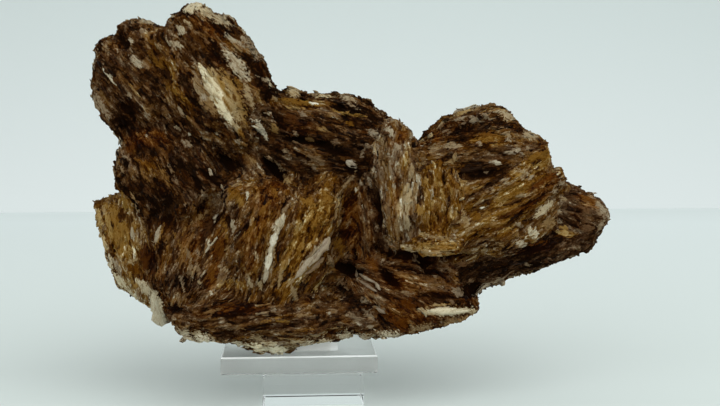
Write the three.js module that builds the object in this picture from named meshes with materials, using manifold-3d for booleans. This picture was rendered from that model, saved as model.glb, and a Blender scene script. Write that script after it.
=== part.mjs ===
// A bladed barite specimen that stands upright on a stand of three clear acrylic slabs: a riser on a plate
// on a block.
// Units are millimetres. +Z is up, +X is the viewer's right and -Y faces the viewer.
// The origin is the middle of the block's underside.
//
// The barite is one intergrown piece. It is modelled as sheaves: each sheaf is a book of parallel or
// fanned blades, cut to the sheaf's outline in the XZ plane and bulging towards -Y and +Y.
// All the sheaves and the lens-shaped heart that they grow from are joined into one solid.

import * as THREE from "three";
import { mergeVertices } from "three/addons/utils/BufferGeometryUtils.js";
import Module from "manifold-3d";

// ---- Driving dimensions ----

const standYaw = 4; // degrees that the stand is turned about Z
const block = { width: 31, depth: 21, height: 10, x: 0, y: 0, bottom: 0 };
const plate = { width: 48, depth: 34, height: 5.5, x: -4.2, y: 6.5, bottom: 10.3 };
const riser = { width: 24, depth: 10, height: 5.6, x: -4.2, y: 0, bottom: 16.1 };
const polishedEdge = 0.4; // chamfer on every edge of the acrylic
const restGap = 0.3; // left between pieces that rest on each other
const seat = plate.bottom + plate.height + restGap; // height of the barite's lowest blades, clear of the plate

const endRaggedness = 1.1; // how far a blade's ends stand out of or behind the outline
const faceRaggedness = 1.3; // the same for its front and back edges
const bladeOverlap = 0.35; // how far a blade reaches into each neighbour
const bladeCorners = 9;
const bladeSquareness = 2.9; // exponent of the blade's superellipse

// Each sheaf: its outline as [x, height above the seat] points, the blades' direction in degrees from +X,
// how far that direction turns from the first blade to the last, the blades' pitch, how far the sheaf
// reaches to the front and to the back, how far its blades lean along the pitch over that depth, and the
// share of the depth that is gone at the first and the last blade. Blades are counted from the right of
// their direction to the left of it, so they go upwards where the direction is near +X.
const sheaves = {
  crownLeft: {
    outline: [[-65.5, 88], [-65, 93], [-62, 96], [-58, 97.5], [-57, 101.5], [-51.5, 103], [-47.5, 101],
      [-42, 98], [-38, 90], [-37, 78], [-39, 66], [-47.5, 64.5], [-56, 66.5], [-59.5, 70], [-63, 78]],
    grain: -58, fan: 6, pitch: 4.8, front: 16, back: 18, lean: 6, taper: [0.45, 0.15],
  },
  crownTop: {
    outline: [[-45, 99], [-41, 105.5], [-36, 107], [-30, 106], [-25.5, 103], [-20.5, 97], [-16, 90.5],
      [-11.5, 84], [-8, 79], [-9.5, 71.5], [-13, 63.5], [-21, 60], [-31.5, 62], [-39, 69], [-44, 80],
      [-46, 90]],
    grain: -52, fan: 8, pitch: 4.8, front: 21, back: 19, lean: -8, taper: [0.15, 0.45],
  },
  leftFlank: {
    outline: [[-57, 67], [-57, 60], [-55.5, 53], [-52.5, 47], [-49, 41], [-42, 38], [-33, 39.5], [-25.5, 45],
      [-24.5, 52], [-28.5, 60.5], [-34, 68], [-46, 71]],
    grain: -60, fan: 4, pitch: 4.8, front: 21, back: 20, lean: 8, taper: [0.4, 0.2],
  },
  leftCorner: {
    outline: [[-66.5, 48.5], [-61.5, 49], [-59, 50.5], [-56, 51.5], [-51.5, 48], [-48, 40], [-46.5, 30],
      [-45.5, 18], [-51, 13.5], [-55.5, 17.5], [-60, 22], [-62, 28.5], [-62, 35], [-64, 42]],
    grain: -80, fan: -16, pitch: 4, front: 15, back: 13, lean: -6, taper: [0.5, 0.1],
  },
  hangingBlade: {
    outline: [[-52.5, 24], [-45.5, 24], [-44.2, 17], [-44.2, 9], [-46.5, 7], [-49, 7.5], [-51.5, 14]],
    grain: -86, fan: 0, pitch: 3.2, front: 9, back: 5, lean: 0, taper: [0.2, 0.2],
  },
  lowerLeft: {
    outline: [[-50.5, 42], [-33, 47], [-18.5, 53], [-12, 48], [-12, 17], [-21, 14], [-44.5, 11], [-47.5, 18],
      [-49, 29.5]],
    grain: 68, fan: -12, pitch: 5, front: 23, back: 22, lean: 5, taper: [0.15, 0.35],
  },
  centralFan: {
    outline: [[-22.5, 52], [-14.5, 55], [-3.5, 52.5], [6, 54], [12, 58], [10.5, 43], [8.5, 29.5], [3, 17],
      [-6, 13], [-14.5, 13], [-19.5, 20.5], [-21.5, 35]],
    grain: 64, fan: 26, pitch: 4.6, front: 28, back: 18, lean: -6, taper: [0.35, 0.2],
  },
  saddle: {
    outline: [[-13, 76], [-9, 82.5], [-4, 80.5], [10, 80], [18, 78], [24.5, 73.5], [28.5, 70], [28.5, 62],
      [23.5, 51.5], [8.5, 47], [-6, 49.5], [-16, 56.5], [-16, 68]],
    grain: -18, fan: -8, pitch: 4.8, front: 13, back: 17, lean: 10, taper: [0.1, 0.5],
  },
  pillar: {
    outline: [[16, 68], [20, 73], [24.5, 73], [29, 70.5], [32.5, 66.5], [34, 54], [35, 37], [30, 31.5],
      [22.5, 33.5], [19.5, 45], [16.5, 58.5]],
    grain: 94, fan: 12, pitch: 4.4, front: 25, back: 14, lean: 6, taper: [0.25, 0.25],
  },
  gully: {
    outline: [[10, 63], [18, 64], [22.5, 48], [24.5, 31.5], [18, 24.5], [11, 28.5], [9, 48]],
    grain: -78, fan: 6, pitch: 4.6, front: 14, back: 15, lean: -10, taper: [0.1, 0.1],
  },
  rightUpper: {
    outline: [[31, 64.5], [35, 67], [40, 70.5], [45.5, 74], [51.5, 76], [60, 75.5], [64.5, 73.5], [66, 70],
      [71.5, 67.5], [73, 63], [72.5, 56], [57, 49.5], [35.5, 50.5], [31, 58]],
    grain: 13, fan: 6, pitch: 4.6, front: 19, back: 17, lean: 8, taper: [0.1, 0.5],
  },
  rightMiddle: {
    outline: [[33.5, 58.5], [51, 60.5], [71.5, 61.5], [73.5, 57.5], [77.5, 56.5], [78.5, 52], [77.5, 47],
      [74, 39], [66, 33], [54, 28.5], [42, 28.5], [33, 35]],
    grain: 28, fan: -6, pitch: 4.8, front: 20, back: 16, lean: -8, taper: [0.3, 0.15],
  },
  window: {
    outline: [[36, 59.5], [45, 58.5], [46, 36], [36.5, 34.5]],
    grain: 90, fan: 4, pitch: 4, front: 23, back: 6, lean: 0, taper: [0.2, 0.2],
  },
  tip: {
    outline: [[70, 48], [78, 51.5], [82.5, 51.5], [87, 49.5], [91, 46], [93.2, 42.5], [91, 38.5], [89, 33.5],
      [83.5, 32], [73.5, 33.5], [69, 40]],
    grain: -14, fan: 22, pitch: 4, front: 9, back: 9, lean: 5, taper: [0.4, 0.4],
  },
  keel: {
    outline: [[42, 32], [63.5, 33.5], [76, 36], [87.5, 36], [88, 33], [82.5, 29], [73.5, 25.5], [64, 25],
      [59.5, 24], [57.5, 20.5], [52, 17.5], [43.5, 15], [38.5, 22.5]],
    grain: 17, fan: 6, pitch: 4, front: 11, back: 13, lean: -12, taper: [0.45, 0.1],
  },
  heel: {
    outline: [[9, 32], [27.5, 34], [42, 30.5], [52, 22], [55, 18.5], [52.5, 15], [53.5, 12], [45.5, 10.5],
      [38, 9], [33.5, 7.5], [27, 6], [19.5, 5], [10.5, 6], [4, 15]],
    grain: -18, fan: 26, pitch: 4.4, front: 21, back: 20, lean: 6, taper: [0.5, 0.15],
  },
  sole: {
    outline: [[-45, 10], [-46, 16], [-34, 19], [-16, 21], [6, 19], [15, 11], [14, 4.5], [4, 3.5],
      [-3.5, 2], [-9, -0.5], [-19, -0.5], [-22, 2.5], [-25, 4], [-30, 3.5], [-37.5, 4.5], [-43.5, 6.5]],
    grain: 5, fan: 4, pitch: 4, front: 24, back: 20, lean: -5, taper: [0.75, 0.05],
  },
  ledge: {
    outline: [[28, 37], [37, 39], [45.5, 37.5], [46.5, 33], [41, 30.5], [32, 30.5], [28.5, 32]],
    grain: 2, fan: 0, pitch: 3.2, front: 28, back: 4, lean: 0, taper: [0.3, 0.1],
  },
  rearBrow: {
    outline: [[-59, 76], [-54, 92], [-42, 95], [-30, 91], [-26, 80], [-36, 70], [-52, 68]],
    grain: 18, fan: 10, pitch: 5, front: -6, back: 24, lean: 8, taper: [0.3, 0.3],
  },
  rearRosette: {
    outline: [[-42, 22], [-44, 44], [-32, 57], [-12, 60], [0, 48], [2, 27], [-14, 15], [-32, 15]],
    grain: -38, fan: 30, pitch: 5.2, front: -6, back: 27, lean: -6, taper: [0.3, 0.3],
  },
  rearFan: {
    outline: [[22, 34], [24, 56], [36, 63], [54, 63], [64, 50], [59, 35], [44, 27]],
    grain: 72, fan: 34, pitch: 5.2, front: -4, back: 22, lean: 6, taper: [0.3, 0.3],
  },
};

// The heart: an outline well inside the sheaves', with a rounded rim.
const heart = {
  outline: [[-57, 84], [-50, 93], [-36, 97], [-24, 88], [-16, 73], [8, 70], [26, 62], [44, 65], [60, 62],
    [70, 51], [82, 44], [74, 38], [56, 29], [42, 17], [20, 12], [-16, 9], [-40, 15], [-52, 27], [-56, 42],
    [-51, 62]],
  halfDepth: 11,
  rim: 5,
};

// ---- Helpers ----

let seed = 20;
function random() {
  seed = (seed + 0x6d2b79f5) | 0;
  let t = Math.imul(seed ^ (seed >>> 15), 1 | seed);
  t = (t + Math.imul(t ^ (t >>> 7), 61 | t)) ^ t;
  return ((t ^ (t >>> 14)) >>> 0) / 4294967296;
}

const jitter = (size) => size * (2 * random() - 1);

const toPoints = (pairs) => pairs.map(([x, height]) => new THREE.Vector2(x, seat + height));

// Where the line through a point meets an outline: [nearest, furthest] along the direction, or null.
function chord(outline, point, direction) {
  const met = [];
  outline.forEach((a, i) => {
    const b = outline[(i + 1) % outline.length];
    const edge = b.clone().sub(a);
    const turn = direction.cross(edge);
    if (Math.abs(turn) < 1e-9) return;
    const toEdge = a.clone().sub(point);
    const share = toEdge.cross(direction) / turn;
    if (share >= 0 && share <= 1) met.push(toEdge.cross(edge) / turn);
  });
  return met.length < 2 ? null : [Math.min(...met), Math.max(...met)];
}

// The outline of one blade seen square on: u runs 0 to 1 along it, and v runs -1 (front) to 1 (back).
function bladeShape() {
  const power = 2 / bladeSquareness;
  const turn = random() * 0.5;
  const points = Array.from({ length: bladeCorners }, (_, i) => {
    const angle = ((i + turn) / bladeCorners) * 2 * Math.PI;
    const c = Math.cos(angle);
    const s = Math.sin(angle);
    const knobble = 1 + jitter(0.06);
    return new THREE.Vector2(
      0.5 + 0.5 * knobble * Math.sign(c) * Math.abs(c) ** power,
      knobble * Math.sign(s) * Math.abs(s) ** power,
    );
  });
  return new THREE.Shape(points);
}

// One blade: a flat prism whose two sides each reach the sheaf's outline.
function blade(outline, centre, angle, width, front, back, lean) {
  const along = new THREE.Vector2(Math.cos(angle), Math.sin(angle));
  const across = new THREE.Vector2(-along.y, along.x);
  const reachAt = (offset) => chord(outline, centre.clone().addScaledVector(across, offset), along);
  const middle = reachAt(0);
  if (!middle) return null;
  const sides = [reachAt(-width / 2) ?? middle, reachAt(width / 2) ?? middle];
  const shift = [jitter(endRaggedness), jitter(endRaggedness)];
  const half = width / 2 + bladeOverlap;
  const geometry = new THREE.ExtrudeGeometry(bladeShape(), { depth: 1, bevelEnabled: false });
  const position = geometry.getAttribute("position");
  for (let i = 0; i < position.count; i++) {
    const [start, end] = sides[position.getZ(i) < 0.5 ? 0 : 1];
    const distance = THREE.MathUtils.lerp(start + shift[0], end + shift[1], position.getX(i));
    const y = THREE.MathUtils.lerp(-front, back, (position.getY(i) + 1) / 2);
    const offset = half * (2 * position.getZ(i) - 1) + Math.tan(lean) * y;
    position.setXYZ(
      i,
      centre.x + distance * along.x + offset * across.x,
      y,
      centre.y + distance * along.y + offset * across.y,
    );
  }
  return geometry;
}

// Every blade of one sheaf.
function sheafBlades({ outline: pairs, grain, fan, pitch, front, back, lean, taper }) {
  const outline = toPoints(pairs);
  const grainAngle = THREE.MathUtils.degToRad(grain);
  const across = new THREE.Vector2(-Math.sin(grainAngle), Math.cos(grainAngle));
  const middle = outline.reduce((sum, p) => sum.add(p), new THREE.Vector2()).divideScalar(outline.length);
  const offsets = outline.map((p) => p.clone().sub(middle).dot(across));
  const first = Math.min(...offsets);
  const span = Math.max(...offsets) - first;
  const count = Math.round(span / pitch);
  const width = span / count;
  return Array.from({ length: count }, (_, i) => {
    const share = (2 * (i + 0.5)) / count - 1; // -1 at the first blade, 1 at the last
    const depth = 1 - taper[share < 0 ? 0 : 1] * share ** 2;
    return blade(
      outline,
      middle.clone().addScaledVector(across, first + (i + 0.5) * width),
      grainAngle + THREE.MathUtils.degToRad((fan * share) / 2),
      width,
      front * depth + jitter(faceRaggedness),
      back * depth + jitter(faceRaggedness),
      THREE.MathUtils.degToRad(lean),
    );
  }).filter((geometry) => geometry);
}

// The lens-shaped middle of the specimen, as an extrusion towards -Y with a bevelled rim.
function heartGeometry({ outline, halfDepth, rim }) {
  const inner = 2 * (halfDepth - rim);
  const geometry = new THREE.ExtrudeGeometry(new THREE.Shape(toPoints(outline)), {
    depth: inner,
    bevelThickness: rim,
    bevelSize: rim,
    bevelOffset: -rim,
    bevelSegments: 2,
  });
  return geometry.rotateX(Math.PI / 2).translate(0, inner / 2, 0);
}

// A polished slab of clear acrylic standing on its underside.
function slab({ width, depth, height, x, y, bottom }) {
  const w = width / 2 - polishedEdge;
  const d = depth / 2 - polishedEdge;
  const corners = [[-w, -d], [w, -d], [w, d], [-w, d]].map(([a, b]) => new THREE.Vector2(a, b));
  return new THREE.ExtrudeGeometry(new THREE.Shape(corners), {
    depth: height - 2 * polishedEdge,
    bevelThickness: polishedEdge,
    bevelSize: polishedEdge,
    bevelSegments: 1,
  }).translate(x, y, bottom + polishedEdge);
}

// ---- Joining ----

const wasm = await Module();
wasm.setup();

function toSolid(geometry) {
  const bare = new THREE.BufferGeometry().setAttribute("position", geometry.getAttribute("position"));
  if (geometry.index) bare.setIndex(geometry.index);
  const merged = mergeVertices(bare, 1e-4);
  return new wasm.Manifold(new wasm.Mesh({
    numProp: 3,
    vertProperties: merged.getAttribute("position").array,
    triVerts: new Uint32Array(merged.index.array),
  }));
}

function toGeometry(solid) {
  const { vertProperties, triVerts } = solid.getMesh();
  return new THREE.BufferGeometry()
    .setAttribute("position", new THREE.BufferAttribute(vertProperties, 3))
    .setIndex(new THREE.BufferAttribute(triVerts, 1));
}

// A solid's outer skin alone, so that pockets sealed between its blades are filled.
function fillPockets(solid) {
  return solid.decompose().reduce((best, body) => (body.volume() > best.volume() ? body : best));
}

// The hollow in the barite's underside that takes the riser, with a gap all round it.
function hollowGeometry() {
  const { width, depth, height, x, y, bottom } = riser;
  return new THREE.BoxGeometry(width + 2 * restGap, depth + 2 * restGap, height + 2 * restGap)
    .translate(x, y, bottom + height / 2)
    .rotateZ(THREE.MathUtils.degToRad(standYaw));
}

// The heart and every blade joined, with the lowest blades worn flat and a hollow where it rests.
function bariteSolid() {
  const blades = Object.values(sheaves).flatMap(sheafBlades);
  const joined = blades.reduce((sum, geometry) => sum.add(toSolid(geometry)), toSolid(heartGeometry(heart)));
  return fillPockets(joined.trimByPlane([0, 0, 1], seat).subtract(toSolid(hollowGeometry())));
}

// ---- The model ----

const barite = new THREE.Mesh(
  toGeometry(bariteSolid()),
  new THREE.MeshStandardMaterial({ color: 0x6b4a2c, roughness: 0.6, metalness: 0 }),
);
barite.name = "barite";
barite.geometry.computeVertexNormals();

const acrylic = { color: 0xeef4f4, roughness: 0.05, metalness: 0, transparent: true, opacity: 0.35 };
const standPlate = new THREE.Mesh(slab(plate), new THREE.MeshStandardMaterial(acrylic));
standPlate.name = "stand_plate";
const standRiser = new THREE.Mesh(slab(riser), new THREE.MeshStandardMaterial(acrylic));
standRiser.name = "stand_riser";
const standBlock = new THREE.Mesh(slab(block), new THREE.MeshStandardMaterial(acrylic));
standBlock.name = "stand_block";

const stand = new THREE.Group();
stand.rotation.z = THREE.MathUtils.degToRad(standYaw);
stand.add(standRiser, standPlate, standBlock);

const specimen = new THREE.Group();
specimen.add(barite, stand);

export default specimen;
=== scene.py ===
import itertools
import math

import bmesh
import bpy
import numpy as np
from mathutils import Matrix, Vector
from mathutils.bvhtree import BVHTree


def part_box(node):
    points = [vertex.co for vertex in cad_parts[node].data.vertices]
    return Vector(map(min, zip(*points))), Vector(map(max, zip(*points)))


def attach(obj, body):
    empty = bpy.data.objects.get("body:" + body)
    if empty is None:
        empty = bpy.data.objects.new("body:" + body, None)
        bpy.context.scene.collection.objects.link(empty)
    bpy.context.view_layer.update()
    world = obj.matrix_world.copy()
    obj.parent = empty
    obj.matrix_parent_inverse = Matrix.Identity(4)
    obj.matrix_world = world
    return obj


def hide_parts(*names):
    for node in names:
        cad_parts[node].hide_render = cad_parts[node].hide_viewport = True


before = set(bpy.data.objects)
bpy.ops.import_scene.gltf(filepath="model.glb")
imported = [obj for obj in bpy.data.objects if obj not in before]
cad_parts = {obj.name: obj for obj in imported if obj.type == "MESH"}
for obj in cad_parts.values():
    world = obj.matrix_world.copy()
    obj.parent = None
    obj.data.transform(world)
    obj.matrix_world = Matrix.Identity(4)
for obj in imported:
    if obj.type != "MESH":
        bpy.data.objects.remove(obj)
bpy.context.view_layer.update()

# Bladed barite on its acrylic stand. Places on the stone are in stone millimetres:
# x from the left of its box, y from the middle of its depth with the front negative, z from its foot.

mm = 0.001
stoneLow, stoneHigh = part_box("barite")
stoneOrigin = np.array([stoneLow.x, (stoneLow.y + stoneHigh.y) / 2, stoneLow.z])
rng = np.random.default_rng(24)


def toWorld(points):
    return stoneOrigin + np.asarray(points, float) * mm


def toStone(points):
    return (np.asarray(points, float) - stoneOrigin) / mm


def linear(red, green, blue):  # 0 to 255 sRGB to linear
    return np.array([((c / 255 + 0.055) / 1.055) ** 2.4 for c in (red, green, blue)])


def unit(vectors):
    return vectors / np.maximum(np.linalg.norm(vectors, axis=-1, keepdims=True), 1e-9)


def dots(a, b):
    return np.sum(a * b, axis=-1, keepdims=True)


def between(low, high, count, power=1.0):
    return low + (high - low) * rng.random(count) ** power


# Random numbers and directions that the noise and the cells look up by where they are.
lookup = {
    "size": 65536,
    "primes": (73856093, 19349663, 83492791),
    "seedPrime": 2654435761,
    "strength": 1.6,
    "shuffle": (7, 3),  # so that a cell's numbers aren't its place as well
}
lookupValues = rng.random((lookup["size"], 4))
lookupPulls = unit(rng.standard_normal((lookup["size"], 3)))


def rowsAt(corners, seed):
    x, y, z = (corners[:, k] * prime for k, prime in enumerate(lookup["primes"]))
    return (x ^ y ^ z ^ (seed * lookup["seedPrime"])) % lookup["size"]


def noiseAt(points, scale, seed=0):  # smooth, about -1 to 1
    spots = points / np.asarray(scale, float)
    base = np.floor(spots).astype(np.int64)
    part = spots - base
    ease = part * part * (3 - 2 * part)
    total = np.zeros(len(points))
    for corner in itertools.product((0, 1), repeat=3):
        pull = lookupPulls[rowsAt(base + corner, seed)]
        weight = np.prod(np.where(corner, ease, 1 - ease), axis=1)
        total += weight * np.sum(pull * (part - corner), axis=1)
    return total * lookup["strength"]


# Random cells: three numbers that are the same all over a cell, and how far its edge is.
def cellsAt(points, size, seed):
    spots = points / np.asarray(size, float)
    base = np.floor(spots).astype(np.int64)
    nearest = np.full(len(points), np.inf)
    second = nearest.copy()
    times, shift = lookup["shuffle"]
    values = np.zeros((len(points), 3))
    for step in itertools.product((-1, 0, 1), repeat=3):
        rows = rowsAt(base + step, seed)
        away = np.linalg.norm(base + step + lookupValues[rows, :3] - spots, axis=1)
        closer = away < nearest
        second = np.where(closer, nearest, np.minimum(second, away))
        nearest = np.where(closer, away, nearest)
        values[closer] = lookupValues[(rows[closer] * times + shift) % lookup["size"], :3]
    return values, second - nearest


# Sheaves: where the middle is and how far each reaches along, through and across the grain, in mm, the turn
# of the grain, how far it fans out and how it leans, in degrees, then how pale, golden and red it is.
sheafKeys = ("at", "reach", "grain", "fan", "lean", "tint")
sheafRows = {
    "crownLeft": ((14, 0, 85), (20, 70, 12), -50, 10, 6, (-0.02, 0.3, 0.15)),
    "crownTop": ((37.5, 0, 85), (24, 70, 14), -50, 14, -8, (0.0, 0.4, 0.15)),
    "leftFlank": ((25.5, 0, 58.5), (15, 70, 15), -56, 8, 8, (-0.1, 0.25, 0.15)),
    "leftCorner": ((11, 0, 36), (17, 70, 8), -80, -12, -6, (0.1, 0.6, 0.0)),
    "lowerLeft": ((34.5, 0, 34.5), (16, 70, 14), 66, 34, 5, (-0.01, 0.4, 0.2)),
    "centralFan": ((65.5, 0, 34.5), (23, 70, 13), 60, 24, -6, (0.03, 0.5, 0.15)),
    "saddle": ((71.5, 0, 69), (23, 70, 13), -18, -10, 10, (-0.06, 0.3, 0.1)),
    "pillar": ((93, 0, 52.5), (20, 60, 8), 94, 14, 6, (0.14, 0.3, 0.1)),
    "window": ((107, -18, 49.5), (11, 16, 6), 90, 6, 2, (0.16, 0.8, 0.0)),
    "rightUpper": ((119, 0, 66), (19, 70, 10), 10, 10, 8, (0.0, 0.5, 0.1)),
    "rightMiddle": ((129.5, 0, 46.5), (20, 70, 12), 28, -8, -8, (0.1, 0.6, 0.05)),
    "tip": ((151.5, 0, 43.5), (10, 60, 8), -12, 26, 5, (0.08, 0.0, 0.2)),
    "keel": ((136.5, 0, 29.5), (22, 70, 6), 18, 6, -12, (-0.15, -0.1, 0.05)),
    "ledge": ((103.5, -24, 34.5), (9, 14, 4), 2, 4, 2, (0.2, 0.75, 0.0)),
    "heel": ((101, 0, 18.5), (20, 70, 10), -22, 34, 6, (0.03, 0.25, 0.35)),
    "sole": ((57, 0, 12.5), (34, 70, 7), 5, 6, -5, (-0.02, 0.3, 0.2)),
    "gully": ((87, -4, 39.5), (12, 40, 4.4), -78, 8, -10, (0.04, 0.2, 0.3)),
    "rearBrow": ((27, 22, 82), (20, 14, 16), 18, 16, 8, (0.04, 0.4, 0.1)),
    "rearRosette": ((47, 24, 38), (24, 14, 22), -38, 44, -6, (0.08, 0.5, 0.1)),
    "rearFan": ((112, 20, 46), (18, 14, 22), 72, 44, 6, (0.1, 0.4, 0.1)),
}
sheaves = {name: dict(zip(sheafKeys, row)) for name, row in sheafRows.items()}
grainWaves = ((16, 0.9), (5, 0.3))  # how long the waves in the grain are and how far they push it, in mm
sheafApart = (41.0, 17.0)  # so that no two sheaves share their noise, in mm along and across
leastFocus = 0.3  # how near its focus a fan may come, as a share of how far off that is


def sheafAt(points):
    scores = []
    for sheaf in sheaves.values():
        angle = math.radians(sheaf["grain"])
        offset = points - np.array(sheaf["at"])
        along = offset @ np.array([math.cos(angle), 0, math.sin(angle)])
        across = offset @ np.array([-math.sin(angle), 0, math.cos(angle)])
        reach = sheaf["reach"]
        scores.append((along / reach[0]) ** 2 + (offset[:, 1] / reach[1]) ** 2 + (across / reach[2]) ** 2)
    return np.argmin(scores, axis=0)


# Unit vectors along the blades and square to them, and places measured along, through and down the blades,
# which spread from a far focus as a fan does.
def grainAt(points, owners):
    along, square, places = (np.zeros_like(points) for _ in range(3))
    for i, sheaf in enumerate(sheaves.values()):
        mine = owners == i
        angle, lean = math.radians(sheaf["grain"]), math.tan(math.radians(sheaf["lean"]))
        offset = points[mine] - np.array(sheaf["at"])
        run = offset @ np.array([math.cos(angle), 0, math.sin(angle)])
        over = offset @ np.array([-math.sin(angle), lean, math.cos(angle)])
        focus = 2 * sheaf["reach"][2] / math.radians(sheaf["fan"])
        far = np.maximum(np.abs(focus + run), leastFocus * abs(focus)) * np.sign(focus)
        spread = np.arctan(over / far)
        way = angle + spread
        along[mine] = np.stack([np.cos(way), np.zeros_like(way), np.sin(way)], 1)
        square[mine] = unit(np.stack([-np.sin(way), np.full_like(way, lean), np.cos(way)], 1))
        waves = sum(push * noiseAt(points[mine], size, 90 + k) for k, (size, push) in enumerate(grainWaves))
        across = spread * abs(focus) + waves + sheafApart[1] * i
        places[mine] = np.stack([run + sheafApart[0] * i, across, offset[:, 1]], 1)
    return along, square, places


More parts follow.
